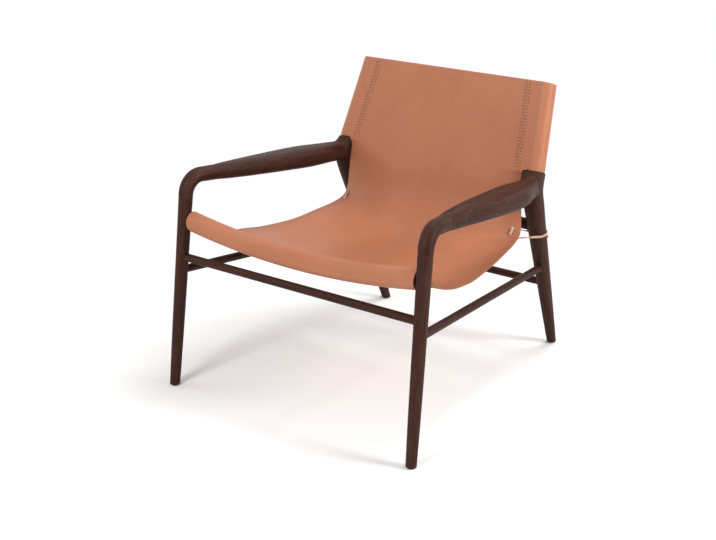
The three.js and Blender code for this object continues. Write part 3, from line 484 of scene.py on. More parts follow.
bars = {
    "postRadius": 0.020, "postInset": 0.004, "postRound": 0.002, "sleeveGap": 0.0006, "leather": 0.004,
    "frontRailRadius": 0.020, "frontRailHeight": 0.4195, "frontRailSag": 0.0285,
    "frontRailSetback": 0.0108, "backRailHeight": 0.371, "backRailRadius": 0.0145,
    "stretcherRadius": 0.010, "frontStretcherHeight": 0.332, "sideFrontHeight": 0.2983,
    "sideRearHeight": 0.2463, "rearStretcherHeight": 0.1971,
    "postSteps": 12, "barSteps": 40, "railSteps": 80,
}
leftSide, rightSide = ("Left", False, 0.0), ("Right", True, 3.1)    # name, mirrored, shift of the grain
grainStep = (0.37, -0.21, 1.0)      # where a shift of 1 takes the grain
grainShifts = {
    "front_leg": 0.3, "elbow": 1.1, "armrest": 1.9, "rear_leg": 2.6, "back_post": 4.4,
    "side_stretcher": 5.7, "front_rail": 7.3, "front_stretcher": 8.9, "rear_stretcher": 9.7,
    "back_rail": 10.6,
}


def atHeight(low, high, height):
    return low.lerp(high, (height - low.z) / (high.z - low.z))


def frontAt(height):
    return atHeight(lines["frontFoot"], lines["frontTop"], height)


def rearAt(height):
    if height < lines["bend"].z:
        return atHeight(lines["rearFoot"], lines["bend"], height)
    return atHeight(lines["bend"], lines["postTop"], height)


def frontRadiusAt(height):
    share = eased(frontLeg["swell"], height / lines["frontTop"].z)
    return mixed(frontLeg["footRadius"], frontLeg["topRadius"], share)


def rearRadiusAt(height):
    bend = lines["bend"].z
    if height < bend:
        return mixed(rearLeg["footRadius"], rearLeg["bendRadius"], eased(rearLeg["swell"], height / bend))
    share = min(1, (height - bend) / (lines["headTopHeight"] - bend))
    return mixed(rearLeg["bendRadius"], rearLeg["headRadius"], share)


postSpan = lines["postTop"] - lines["bend"]
backTilt = atan2(postSpan.y, postSpan.z)
backUp = Vector((0, sin(backTilt), cos(backTilt)))
backFront = Vector((0, -cos(backTilt), sin(backTilt)))
postAxis = postSpan.normalized()
postPerUp = postAxis / postAxis.dot(backUp)
headTop = rearAt(lines["headTopHeight"])
headTilt = backTilt * rearLeg["headTiltShare"]
headUp = Vector((0, sin(headTilt), cos(headTilt)))
sleeveRadius = bars["postRadius"] + bars["sleeveGap"] + bars["leather"]
slingTopAxis = rearAt(lines["slingTopHeight"] - sleeveRadius * backFront.z)


def sectionRing(halfWidth, halfHeight, power, count):
    # across and upwards, round a circle that a power above 2 makes squarer
    ring = []
    for k in range(count):
        c, s = cos(2 * pi * k / count), sin(2 * pi * k / count)
        ring.append((copysign(abs(c) ** (2 / power), c) * halfWidth,
                     copysign(abs(s) ** (2 / power), s) * halfHeight))
    return ring


def roundedEnd(ring, plane, normal, along, roundAt, steps=6):
    # rings that close an end: the ring laid on the plane, drawn in and down over a small rounding
    flat = [p + along * ((plane - p).dot(normal) / along.dot(normal)) for p in ring]
    centre = sum(flat, Vector()) / len(flat)
    rings = []
    for i in range(steps + 1):
        angle = pi / 2 * i / steps
        row = []
        for p in flat:
            out = p - centre
            soft = roundAt(out)
            inset = 1 - soft * (1 - cos(angle)) / out.length
            row.append(centre + out * inset + along * soft * (1 - sin(angle)))
        rings.append(row)
    return rings


def evenly(radius):
    return lambda out: radius


def roundSection(radius):
    return lambda point, share: (radius, radius, 2)


def sweptWood(node, points, sectionAt, side=None, sides=48, reference=xAxis,
              startPlane=None, endPlane=None, startRound=None, endRound=None):
    sideName, mirror, shift = side or ("", False, 0.0)
    startRound = startRound or evenly(lines["seamRound"])
    endRound = endRound or evenly(lines["seamRound"])
    outwards = (xAxis, -xAxis, yAxis, -yAxis, -xAxis - yAxis)
    startDepth, endDepth = [lines["endRoom"] * max(roundAt(out) for out in outwards)
                            for roundAt in (startRound, endRound)]
    count = len(points)
    lengths = [0.0]
    for a, b in zip(points, points[1:]):
        lengths.append(lengths[-1] + (b - a).length)
    tangents = tangentsAlong(points)
    rings, grains = [], []
    for centre, along, length in zip(points, tangents, lengths):
        across = squareTo(reference, along)
        up = across.cross(along)
        local = sectionRing(*sectionAt(centre, length / lengths[-1]), sides)
        rings.append([centre + across * a + up * b for a, b in local])
        grains.append([(a, b, length) for a, b in local])
    startPoint, startNormal = startPlane or (points[0], tangents[0])
    endPoint, endNormal = endPlane or (points[-1], tangents[-1])
    kept = [i for i in range(count)
            if min((p - startPoint).dot(startNormal) for p in rings[i]) > startDepth
            and min((endPoint - p).dot(endNormal) for p in rings[i]) > endDepth]
    # each ring with the number of the swept ring that its grain comes from
    first, last = kept[0], kept[-1]
    startRings = roundedEnd(rings[first], startPoint, startNormal, tangents[first], startRound)
    endRings = roundedEnd(rings[last], endPoint, endNormal, -tangents[last], endRound)
    allRings = ([(ring, first) for ring in startRings[::-1]] + [(rings[i], i) for i in kept]
                + [(ring, last) for ring in endRings])
    verts, grain = [], []
    for ring, source in allRings:
        for p, swept, (a, b, length) in zip(ring, rings[source], grains[source]):
            verts.append(p)
            grain.append((a, b, length + (p - swept).dot(tangents[source])))
    faces = skin(len(allRings), sides)
    for r, step in ((0, -1), (len(allRings) - 1, 1)):
        verts.append(sum(allRings[r][0], Vector()) / sides)
        grain.append((0, 0, grain[r * sides][2]))
        for k in range(sides):
            edge = (r * sides + k, r * sides + (k + 1) % sides)
            faces.append((len(verts) - 1, *edge[::step]))
    name = node.title().replace("_", "") + sideName
    name = name[0].lower() + name[1:]
    # across x along points up, so faces built this way look inwards
    obj = newPiece(name, mirrored(verts) if mirror else verts, faces, flipped=not mirror)
    shifts = [(shift + grainShifts[node]) * step for step in grainStep]
    grain = [[value + moved for value, moved in zip(place, shifts)] for place in grain]
    setAttribute(obj, "grain", "FLOAT_VECTOR", "vector", grain)
    obj.data.materials.append(wood)
    declare(obj, [node + ("_" + sideName.lower() if side else "")])
    return obj


def makeFrontLeg(side):
    foot = lines["frontFoot"] - (lines["frontTop"] - lines["frontFoot"]) * frontLeg["overrun"]
    sweptWood("front_leg", straight(foot, lines["frontTop"], frontLeg["steps"]),
              lambda p, share: (frontRadiusAt(max(0, p.z)),) * 2 + (2,), side,
              startPlane=(frontAt(lines["glide"]), zAxis), startRound=evenly(frontLeg["footRound"]))


armCorner = frontAt(elbow["pitchHeight"])
armDirection = (elbow["joint"] - armCorner).normalized()
frontAxis = (lines["frontTop"] - lines["frontFoot"]).normalized()


def makeElbow(side):
    start = lines["frontTop"] + frontAxis * lines["seam"]
    end = elbow["joint"] - armDirection * lines["seam"]
    radius = frontLeg["topRadius"]

    def section(point, share):
        return (mixed(radius, elbow["halfWidth"], share), mixed(radius, elbow["halfHeight"], share),
                mixed(2, elbow["power"], share))

    sweptWood("elbow", bent(start, armCorner, end, elbow["bendRadius"], *elbow["steps"]), section, side)


armEnd = rearAt(armrest["endHeight"])


def makeArmrest(side):
    spec = armrest
    points = bezier(elbow["joint"], elbow["joint"] + armDirection * spec["frontHandle"],
                    armEnd + Vector((spec["rearFlare"], -spec["rearHandle"], spec["rearRise"])), armEnd,
                    spec["steps"])

    def section(point, share):
        return (mixed(elbow["halfWidth"], spec["halfWidth"], eased(spec["width"], share)),
                mixed(elbow["halfHeight"], spec["halfHeight"], eased(spec["height"], share)),
                mixed(elbow["power"], spec["power"], min(1, spec["powerRise"] * share)))

    return sweptWood("armrest", points, section, side, sides=112)


def makeRearLeg(side):
    spec = rearLeg
    low = lines["rearFoot"] - (lines["bend"] - lines["rearFoot"]).normalized() * spec["footOverrun"]
    high = headTop + postAxis * spec["headOverrun"]
    coarse = bent(low, lines["bend"], high, spec["headBend"], *spec["steps"])
    points = []
    for a, b in zip(coarse, coarse[1:]):
        points += straight(a, b, spec["fineSteps"] if b.z > spec["fineFrom"] else 1)[:-1]
    points.append(coarse[-1])
    for p in points:
        p.x -= spec["headLean"] * risen(p.z, spec["leanFrom"], spec["leanTo"])

    def section(point, share):
        radius = rearRadiusAt(max(0, point.z))
        squarer = risen(point.z, bars["backRailHeight"], lines["headTopHeight"])
        return radius, radius, mixed(2, spec["headPower"], squarer)

    corner = Vector((-1, -1, 0)).normalized()

    def headRound(out):
        toCorner = max(0, out.normalized().dot(corner))
        return mixed(spec["headRound"], spec["cornerRound"], toCorner ** spec["cornerPower"])

    return sweptWood("rear_leg", points, section, side, sides=96,
                     startPlane=(rearAt(lines["glide"]), zAxis), startRound=evenly(frontLeg["footRound"]),
                     endPlane=(headTop, headUp), endRound=headRound)


def signedDistance(tree, point):
    near, normal, _, away = tree.find_nearest(point)
    if away < 1e-7:
        return 0.0, normal
    out = (point - near) / away
    return (-away, -out) if out.dot(normal) < 0 else (away, out)


def spreadInto(obj, ownTree, otherTree):
    # moves the points near the other part outwards to a surface that joins both softly
    spec = armrest
    normals = {}
    for vertex in obj.data.vertices:
        start = vertex.co.copy()
        toOther, _ = signedDistance(otherTree, start)
        if toOther > spec["spreadAbove"] or toOther < -spec["spreadFade"]:
            continue
        width = mixed(spec["spreadUnder"], spec["spreadAbove"],
                      risen(start.z, spec["spreadFrom"], spec["spreadTo"]))
        place = start.copy()
        for _ in range(spec["spreadPasses"]):
            a, towardsA = signedDistance(ownTree, place)
            b, towardsB = signedDistance(otherTree, place)
            b -= min(0, toOther)
            share = clamped(0.5 + 0.5 * (b - a) / width)
            level = b + (a - b) * share - width * share * (1 - share)
            normal = (towardsA * share + towardsB * (1 - share)).normalized()
            place -= normal * level
        vertex.co = start.lerp(place, 1 - clamped(-toOther / spec["spreadFade"]))
        if share < spec["ownShare"]:
            normals[vertex.index] = normal
    own = [normals.get(loop.vertex_index, Vector()) for loop in obj.data.loops]
    obj.data.normals_split_custom_set([tuple(n) for n in own])


def joinSoftly(arm, leg):
    trees = [BVHTree.FromPolygons([v.co.copy() for v in obj.data.vertices],
                                  [tuple(p.vertices) for p in obj.data.polygons]) for obj in (arm, leg)]
    spreadInto(arm, trees[0], trees[1])
    spreadInto(leg, trees[1], trees[0])


def makePost(side):
    start = headTop + postPerUp * lines["gap"]
    top = slingTopAxis - postPerUp * bars["postInset"]
    sweptWood("back_post", straight(start, top, bars["postSteps"]), roundSection(bars["postRadius"]), side,
              startPlane=(start, headUp), endPlane=(top, backUp), endRound=evenly(bars["postRound"]))


def makeBar(node, start, end, radius, side=None, reference=yAxis):
    sweptWood(node, straight(start, end, bars["barSteps"]), roundSection(bars[radius]), side, sides=40,
              reference=reference)


railLegAxis = frontAt(bars["frontRailHeight"])
rollTopHeight = bars["frontRailHeight"] + bars["frontRailRadius"] + 2 * bars["leather"]
railEndX = frontAt(rollTopHeight).x - frontRadiusAt(rollTopHeight) - lines["gap"]
railY = railLegAxis.y + bars["frontRailSetback"]
sagRadius = (railEndX**2 + bars["frontRailSag"]**2) / (2 * bars["frontRailSag"])


def roundRail(x, radius=0, angle=0):
    # a place on the front rail's axis, or round it in the upright slice at x
    height = bars["frontRailHeight"] - bars["frontRailSag"] + sagRadius - sqrt(sagRadius**2 - x * x)
    slope = asin(x / sagRadius)
    return Vector((x, railY + radius * cos(angle), height + radius * sin(angle) / cos(slope)))


def makeFrontRail():
    steps = bars["railSteps"]
    points = [roundRail(mixed(-railEndX, railEndX, i / steps)) for i in range(steps + 1)]
    sweptWood("front_rail", points, roundSection(bars["frontRailRadius"]), reference=yAxis,
              startPlane=(points[0], xAxis), endPlane=(points[-1], xAxis))


for side in (leftSide, rightSide):
    makeFrontLeg(side)
    makeElbow(side)
    joinSoftly(makeArmrest(side), makeRearLeg(side))
    makePost(side)
    makeBar("side_stretcher", frontAt(bars["sideFrontHeight"]), rearAt(bars["sideRearHeight"]),
            "stretcherRadius", side, xAxis)
makeFrontRail()
for node, end, radius in (
        ("front_stretcher", frontAt(bars["frontStretcherHeight"]), "stretcherRadius"),
        ("rear_stretcher", rearAt(bars["rearStretcherHeight"]), "stretcherRadius"),
        ("back_rail", rearAt(bars["backRailHeight"]), "backRailRadius")):
    makeBar(node, *mirrored([end]), end, radius)
for node in ("leg_dowel", "arm_dowel", "arm_tenon"):
    for sideName in ("_left", "_right"):
        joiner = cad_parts[node + sideName]
        joiner.data.materials.clear()
        joiner.data.materials.append(beech)
print("wooden frame made")


# The sling: one sheet from its edge under the front rail to its top, with a sleeve on each side
sling = {
    "rollLeave": 45.0, "rollEnd": 302.0, "rollStep": 4.0,
    "edgeLow": 0.3385, "middleLow": 0.3225, "flatFrom": 0.505, "neckHalfWidth": 0.2605, "neckCurl": 0.009,
    "notchHalfWidth": 0.2658, "notchGuide": 0.277,
    "sleeveLift": 0.0012, "flapAngle": 20.0, "flapBend": 0.006, "flapWidth": 0.018,
    "flapSteps": (5, 8, 6),         # before, in and behind the flap's bend
    "middleShare": 0.5,             # in front of it heights reach to the roll, behind it to the flat back
    # shares: along from rail to back, up from the lowest point, and for the edge from neck to rail end
    "edge": [(0.124, 0.461, 1.06), (0.231, 0.235, 1.08), (0.345, 0.132, 1.03), (0.454, 0.051, 0.872),
             (0.637, 0.009, 0.607), (0.793, 0.048, 0.439), (0.918, 0.093, 0.293), (0.985, 0.171, 0.202),
             (1.004, 0.339, 0.132), (1.007, 0.568, 0.077), (1.0075, 0.8, 0.014)],
    "middle": [(0.124, 0.507), (0.231, 0.262), (0.345, 0.128), (0.454, 0.047), (0.603, 0), (0.732, 0.041),
               (0.821, 0.134), (0.874, 0.249), (0.917, 0.414), (0.95, 0.606), (0.976, 0.819)],
    # how late a row rises to its edge, by its share of the side view
    "crossPower": [(0, 2), (0.45, 2), (0.65, 3), (0.846, 4), (0.923, 10), (1, 20)],
    "columns": 84, "seatRows": 150, "backRows": 30,
    "stripSteps": 3, "tubeSteps": 36,   # from the sheet to the post's foremost line, and round the post
    "edgeRound": 0.0007, "edgeAngle": 60, "sharpAngle": 50,
    "farFromPost": 1.0, "tubeFromPost": 0.02,   # marks that keep the seam's groove away
}
rollRadius = bars["frontRailRadius"] + lines["gap"] + bars["leather"]
sleeveFoot = headTop + backUp * sling["sleeveLift"]
sleeveLength = (slingTopAxis - sleeveFoot).dot(backUp)
footSlope = tan(backTilt - headTilt)
notchHeight = (sleeveFoot + (backFront - backUp * footSlope) * sleeveRadius).z
notchInset = sleeveFoot.x - sling["notchHalfWidth"]


def flatFront(height):
    bend = lines["bend"]
    return bend.y + (height - bend.z) * tan(backTilt) - sleeveRadius / cos(backTilt)


def sideView(shares, rollX, lowest, curl):
    # the last point lies above the notch and keeps the line straight there
    leave = roundRail(rollX, rollRadius, radians(sling["rollLeave"]))
    back = flatFront(sling["flatFrom"])
    points = []
    for along, up, *_ in shares:
        top = leave.z if along < sling["middleShare"] else sling["flatFrom"]
        points.append(Vector((mixed(railY, back, along), mixed(lowest, top, up))))
    heights = (sling["flatFrom"], notchHeight, 2 * notchHeight - sling["flatFrom"])
    flat = [Vector((flatFront(h) + bend, h)) for h, bend in zip(heights, (curl, 0, curl))]
    return [Vector((leave.y, leave.z))] + points + flat


edgeView = sideView(sling["edge"], railEndX, sling["edgeLow"], sling["neckCurl"])
middleView = sideView(sling["middle"], 0, sling["middleLow"], 0)
widthView = [mixed(sling["neckHalfWidth"], railEndX, s) for s in [1] + [e[2] for e in sling["edge"]] + [0]]
widthView += [sling["notchHalfWidth"], sling["notchGuide"]]


def seatPoint(across, share):
    edge, middle = throughPoints(edgeView, share), throughPoints(middleView, share)
    rise = abs(across) ** eased(sling["crossPower"], share)
    x = across * throughPoints(widthView, share)
    return Vector((x, mixed(middle.x, edge.x, rise), mixed(middle.y, edge.y, rise)))


def sleeveSection():
    # the sheet's outer face round the post: u inwards and v backwards from the post's axis
    stop, steps = radians(sling["flapAngle"]), sling["tubeSteps"]
    points = []
    for i in range(1, steps + 1):
        angle = mixed(-pi / 2, stop - 2 * pi, i / steps)
        points.append(Vector((sleeveRadius * cos(angle), sleeveRadius * sin(angle))))
    sewn = 2 * bars["leather"] - sleeveRadius
    run = (sleeveRadius * sin(stop) - sewn) / cos(stop)
    corner = Vector((sleeveRadius * cos(stop) + run * sin(stop), sewn))
    before, inBend, behind = sling["flapSteps"]
    bend = roundedCorner(Vector((sin(stop), -cos(stop))), corner, Vector((1, 0)),
                         sling["flapBend"], inBend)
    flapEnd = corner + Vector((sling["flapWidth"], 0))
    return (points + straight(points[-1], bend[0], before)[1:-1] + bend
            + straight(bend[-1], flapEnd, behind)[1:])


def inSleeve(u, v, h):
    return sleeveFoot + Vector((-u, 0, 0)) - backFront * v + postPerUp * h


def sleeveHeight(v, share):
    # the sleeve's foot is cut along the rear leg's top, its upper edge square to the post
    return mixed(v * footSlope, sleeveLength, share)


def makeSling():
    spec = sling
    # the columns are closer together near the sides, where the rows bend
    shares = [i / spec["columns"] for i in range(spec["columns"] + 1)]
    places = [sin((s - 0.5) * pi) * 0.5 + mixed(-1, 1, s) * 0.5 for s in shares]
    rows = []
    rollRows = round((spec["rollEnd"] - spec["rollLeave"]) / spec["rollStep"])
    for i in range(rollRows):
        angle = radians(mixed(spec["rollEnd"], spec["rollLeave"], i / rollRows))
        rows.append([roundRail(a * railEndX, rollRadius, angle) for a in places])
    for i in range(spec["seatRows"]):
        rows.append([seatPoint(a, i / spec["seatRows"]) for a in places])
    wingStart = len(rows)
    wide = len(places)
    fromPost = [spec["farFromPost"]] * (wide * wingStart)
    for i in range(spec["backRows"] + 1):
        axis = sleeveFoot + postPerUp * sleeveHeight(-sleeveRadius, i / spec["backRows"])
        middle, half = axis + backFront * sleeveRadius, axis.x - notchInset
        rows.append([Vector((a * half, middle.y, middle.z)) for a in places])
        fromPost += [axis.x - abs(a) * half for a in places]
    verts = [p for row in rows for p in row]
    faces = skin(len(rows), wide, closed=False)
    # the rest of each sleeve as columns: mark on the leather, u and v
    section = sleeveSection()
    columns = []
    for step in range(1, spec["stripSteps"] + 1):
        u = notchInset * (1 - step / spec["stripSteps"])
        columns.append((u, u, -sleeveRadius))
    for step, (u, v) in enumerate(section):
        onFlap = step >= spec["tubeSteps"]
        columns.append((u if onFlap else -u if u < 0 else spec["tubeFromPost"], u, v))
    for sign, column in ((1, wide - 1), (-1, 0)):
        before = [r * wide + column for r in range(wingStart, len(rows))]
        for mark, u, v in columns:
            line = []
            for i in range(spec["backRows"] + 1):
                place = inSleeve(u, v, sleeveHeight(v, i / spec["backRows"]))
                place.x *= sign
                line.append(len(verts))
                verts.append(place)
                fromPost.append(mark)
            for i in range(spec["backRows"]):
                faces.append((before[i], line[i], line[i + 1], before[i + 1])[::sign])
            before = line
    obj = newPiece("sling", verts, faces, smooth=60)
    setAttribute(obj, "fromPost", "FLOAT", "value", fromPost)
    area = sum(p.area for p in obj.data.polygons)
    length = pathLength([row[wide // 2] for row in rows])
    wrap = pathLength([Vector((0, -sleeveRadius))] + section)
    return obj, area, length, 2 * (sleeveFoot.x + wrap)


lace = {
    "halfWidth": 0.0032, "halfThickness": 0.001, "round": 0.0005, "spacing": 0.0012,
    "drop": 0.0235, "innerDrop": 0.0193,        # below the back rail's axis
    "rise": 0.007,                              # how much higher the knot lies behind the leg
    "slotGap": 0.0009, "slotInsets": (0.020, 0.017), "slotShares": (0.585, 0.643), "slotDepth": 0.009,
    "slotStep": 15, "edgeStep": 30, "arcStep": 12,      # degrees
    "hugShare": 0.6,                            # how far the strip lies off its slot's middle
    "bulge": 0.0014, "loop": 0.0055,
    "knot": (0.0068, 0.0036), "knotLean": 0.55, "knotSteps": 16,
    "legGaps": 1.5, "slingGaps": 3,             # how far it stays off leg and sling, in gaps
    "tail": 0.028, "tailShares": (0, 0.35, 0.7, 1), "tailSwing": (0.6, 2.4), "tailLift": (1.2, 1.6),
    "tailTurn": 0.25,
    "innerArc": (112, 180), "outerArc": (-36, 68),   # degrees round the leg, where 90 is behind
    "innerShares": (0.4, 0.22, 0.5), "outerShares": (0.3, 0.5, 0.75), "nearShare": 0.12,
}


def slingPlace(inset, share):
    across = 1 - inset / throughPoints(widthView, share)
    step = 0.01
    sideways = seatPoint(across + step, share) - seatPoint(across - step, share)
    forwards = seatPoint(across, share + step) - seatPoint(across, share - step)
    return seatPoint(across, share), sideways.cross(forwards).normalized()


lowerSlot, upperSlot = [slingPlace(*place) for place in zip(lace["slotInsets"], lace["slotShares"])]
slotRun = (upperSlot[0] - lowerSlot[0]).normalized()


def alongSlot(slot):
    return slotRun.cross(slot[1]).normalized()


def slotRings(slot):
    # the slot's outline behind the leather and in front of it, wound to face outwards
    point, facing = slot
    across, depth = alongSlot(slot), lace["slotDepth"]
    other = facing.cross(across)
    radius = lace["halfThickness"] + lace["slotGap"]
    straightHalf = lace["halfWidth"] - lace["halfThickness"] / 2
    outline = []
    for side, start in ((straightHalf, -90), (-straightHalf, 90)):
        outline += [(side + a, b) for a, b in arc(radius, range(start, start + 181, lace["slotStep"]))]
    return [point + facing * end + across * a + other * b for end in (-depth, depth) for a, b in outline]


def cutSlots(obj):
    points, faces = [], []
    for slot in (lowerSlot, upperSlot):
        rings = slotRings(slot)
        for side, step in ((rings, 1), (mirrored(rings), -1)):
            faces += [face[::step] for face in tube(2, len(rings) // 2, len(points))]
            points += side
    cutter = newPiece("slotCutter", points, faces)
    # the slot walls left by the cut take the painted shade
    cutter.data.materials.append(slotShade)
    modify(obj, "BOOLEAN", operation="DIFFERENCE", solver="EXACT", material_mode="TRANSFER", object=cutter)
    flatten(obj)
    bpy.data.objects.remove(cutter)


slingPiece, slingArea, slingLength, slingWidth = makeSling()
for material in (leather, flesh, cutEdge):
    slingPiece.data.materials.append(material)
modify(slingPiece, "SOLIDIFY", thickness=bars["leather"], offset=-1, use_even_offset=True, use_rim=True,
       material_offset=1, material_offset_rim=2)
modify(slingPiece, "BEVEL", width=sling["edgeRound"], segments=2, limit_method="ANGLE",
       angle_limit=radians(sling["edgeAngle"]), harden_normals=False)
flatten(slingPiece)
cutSlots(slingPiece)
slingPiece.data.set_sharp_from_angle(angle=radians(sling["sharpAngle"]))
declare(slingPiece, ["sling"])
print("sling made: flat", round(slingWidth, 4), round(slingLength, 4), "area", round(slingArea, 4),
      [m.name for m in slingPiece.data.materials])


# Stitches, screws and glides: one Geometry Nodes tree each
def newTree(name, inputs):
    tree = bpy.data.node_groups.new(name, "GeometryNodeTree")
    for direction in ("INPUT", "OUTPUT"):
        tree.interface.new_socket("geometry", in_out=direction, socket_type="NodeSocketGeometry")
    for label, kind in inputs.items():
        tree.interface.new_socket(label, in_out="INPUT", socket_type="NodeSocket" + kind)
    nodes = Nodes(tree)
    return nodes, nodes.add("NodeGroupInput").outputs, nodes.add("NodeGroupOutput").inputs[0]


def turnedTo(nodes, values, **settings):
    return nodes.get("FunctionNodeAlignRotationToVector", values, **settings)


def facing(nodes):
    return nodes.get("GeometryNodeInputNamedAttribute", {"Name": "facing"}, data_type="FLOAT_VECTOR")


def realCopies(nodes, points, pattern, rotation, material):
    copies = nodes.get("GeometryNodeInstanceOnPoints", {
        "Points": points, "Instance": pattern, "Rotation": rotation})
    real = nodes.get("GeometryNodeRealizeInstances", {"Geometry": copies})
    return nodes.get("GeometryNodeSetMaterial", {"Geometry": real, "Material": material})


def grow(name, points, edges, facings, nodes, values):
    # a piece grown from points that each face a way
    obj = placed(name, newMesh(name, points, edges, []))
    setAttribute(obj, "facing", "FLOAT_VECTOR", "vector", facings)
    modifier = obj.modifiers.new(name, "NODES")
    modifier.node_group = nodes.tree
    for item in nodes.tree.interface.items_tree:
        if item.item_type == "SOCKET" and item.in_out == "INPUT" and item.name in values:
            modifier[item.identifier] = values[item.name]
    bpy.context.view_layer.update()
    flatten(obj)
    return obj


stitching = {
    "pitch": 0.0077, "length": 0.0042, "slant": 0.0017, "threadRadius": 0.0007, "lift": 0.0009,
    "sink": 0.0006, "holeRadius": 0.0017,
}
stitchShape = {
    "endGap": 0.007, "strandSteps": 7, "strandSides": 6, "dimpleRounds": 2, "dimpleFlatness": 0.14,
}


def makeStitchTree():
    nodes, start, end = newTree("stitches", {
        **{label: "Float" for label in stitching}, "thread": "Material", "needleHoleShade": "Material"})

    shape = stitchShape

    def place(x, y, z=0.0):
        return nodes.get("ShaderNodeCombineXYZ", {"X": x, "Y": y, "Z": z})

    half = nodes.maths("MULTIPLY", start["length"], 0.5)
    lean = start["slant"]
    back, leanBack, low = [nodes.maths("MULTIPLY", value, -1.0) for value in (half, lean, start["sink"])]
    peak = nodes.maths("ADD", start["sink"], nodes.maths("MULTIPLY", start["lift"], 2.0))
    bow = nodes.get("GeometryNodeCurveQuadraticBezier", {
        "Resolution": shape["strandSteps"], "Start": place(back, leanBack, low),
        "Middle": place(0.0, 0.0, peak), "End": place(half, lean, low)})
    ring = nodes.get("GeometryNodeCurvePrimitiveCircle", {
        "Resolution": shape["strandSides"], "Radius": start["threadRadius"]})
    strand = nodes.get("GeometryNodeCurveToMesh", {"Curve": bow, "Profile Curve": ring, "Fill Caps": True})
    # a shallow dimple at each end of a stitch, coloured in painted shade for the needle hole
    dimple = nodes.get("GeometryNodeMeshIcoSphere", {
        "Radius": start["holeRadius"], "Subdivisions": shape["dimpleRounds"]})
    dimple = nodes.get("GeometryNodeStoreNamedAttribute", {
        "Geometry": dimple, "Name": "dimple", "Value": True}, data_type="BOOLEAN", domain="FACE")
    together = nodes.add("GeometryNodeJoinGeometry")
    nodes.link(strand, together.inputs[0])
    for x, y in ((back, leanBack), (half, lean)):
        moved = nodes.get("GeometryNodeTransform", {
            "Geometry": dimple, "Translation": place(x, y), "Scale": (1, 1, shape["dimpleFlatness"])})
        nodes.link(moved, together.inputs[0])
    path = nodes.get("GeometryNodeMeshToCurve", {"Mesh": start["geometry"]})
    spaced = nodes.get("GeometryNodeResampleCurve", {"Curve": path, "Length": start["pitch"]},
                       mode="LENGTH")
    turned = turnedTo(nodes, {"Vector": nodes.get("GeometryNodeInputTangent")}, axis="X")
    turned = turnedTo(nodes, {"Rotation": turned, "Vector": facing(nodes)}, axis="Z", pivot_axis="X")
    made = realCopies(nodes, spaced, together.outputs[0], turned, start["thread"])
    isDimple = nodes.get("GeometryNodeInputNamedAttribute", {"Name": "dimple"}, data_type="BOOLEAN")
    nodes.link(nodes.get("GeometryNodeSetMaterial", {
        "Geometry": made, "Selection": isDimple, "Material": start["needleHoleShade"]}), end)
    return nodes


def makeStitches():
    points, facings = [], []
    flapFace, endGap = 2 * bars["leather"] - sleeveRadius, stitchShape["endGap"]
    for sign in (1, -1):
        for row in saddleLeather["seamRows"]:
            for v, outwards in ((-sleeveRadius, backFront), (flapFace, -backFront)):
                for h in (sleeveHeight(v, 0) + endGap, sleeveLength - endGap):
                    place = inSleeve(row, v, h)
                    place.x *= sign
                    points.append(place)
                    facings.append(outwards)
    edges = [(i, i + 1) for i in range(0, len(points), 2)]
    obj = grow("stitches", points, edges, facings, makeStitchTree(),
               {**stitching, "thread": thread, "needleHoleShade": needleHoleShade})
    obj.data.shade_smooth()
    declare(obj, [])
    print("stitches made:", len(obj.data.polygons), "faces")


makeStitches()

fasteners = {
    "count": 7, "inset": 0.022, "angle": 284.0, "shankRadius": 0.0016, "shankLength": 0.004,
    "headRadius": 0.005, "headHeight": 0.0026, "headAngles": (0, 15, 30, 45, 60, 72),
    "socketRadius": 0.0016, "socketDepth": 0.0014, "washerRadius": 0.0063, "washerHeight": 0.0007,
    "glideRadius": 0.009, "glideHeight": 0.0025, "glideRound": 0.0009, "glideAngles": (0, 30, 60, 90),
    "gaps": 0.5,                    # how far the washers stay off the leather, in gaps
    "screwSides": 24, "glideSides": 40, "smooth": 40,
}


def turnedMesh(name, profile, sides):
    points = []
    for radius, height in profile:
        points += [Vector((x, y, height)) for x, y in arc(radius, [360 * k / sides for k in range(sides)])]
    return newPiece(name, points, tube(len(profile), sides), smooth=fasteners["smooth"])


def makeCopies(name, profile, sides, points, facings, finish, replaced):
    pattern = turnedMesh(name + "Pattern", profile, sides)
    nodes, start, end = newTree(name, {"pattern": "Object", "finish": "Material"})
    shape = nodes.get("GeometryNodeObjectInfo", {"Object": start["pattern"]}, "Geometry")
    starts = nodes.get("GeometryNodeMeshToPoints", {"Mesh": start["geometry"]})
    turned = turnedTo(nodes, {"Vector": facing(nodes)}, axis="Z")
    nodes.link(realCopies(nodes, starts, shape, turned, start["finish"]), end)
    obj = grow(name, points, [], facings, nodes, {"pattern": pattern, "finish": finish})
    bpy.data.objects.remove(pattern)
    obj.data.set_sharp_from_angle(angle=radians(fasteners["smooth"]))
    declare(obj, replaced)


def makeScrews():
    spec = fasteners
    high, low = spec["headHeight"], spec["washerHeight"]
    profile = [(spec["shankRadius"], -spec["shankLength"]), (spec["shankRadius"], 0),
               (spec["washerRadius"], 0), (spec["washerRadius"], low)]
    for a in [radians(angle) for angle in spec["headAngles"]]:
        profile.append((spec["headRadius"] * cos(a), low + (high - low) * sin(a)))
    profile += [(spec["socketRadius"], high), (spec["socketRadius"], high - spec["socketDepth"])]
    points, facings, angle = [], [], radians(spec["angle"])
    for i in range(spec["count"]):
        x = mixed(-1, 1, i / (spec["count"] - 1)) * (railEndX - spec["inset"])
        slope = asin(x / sagRadius)
        across = Vector((-sin(slope), 0, cos(slope)))
        facings.append(yAxis * cos(angle) + across * sin(angle))
        points.append(roundRail(x) + facings[-1] * (rollRadius + lines["gap"] * spec["gaps"]))
    makeCopies("slingScrews", profile, spec["screwSides"], points, facings, steel,
               ["sling_screw_%d" % (i + 1) for i in range(spec["count"])])


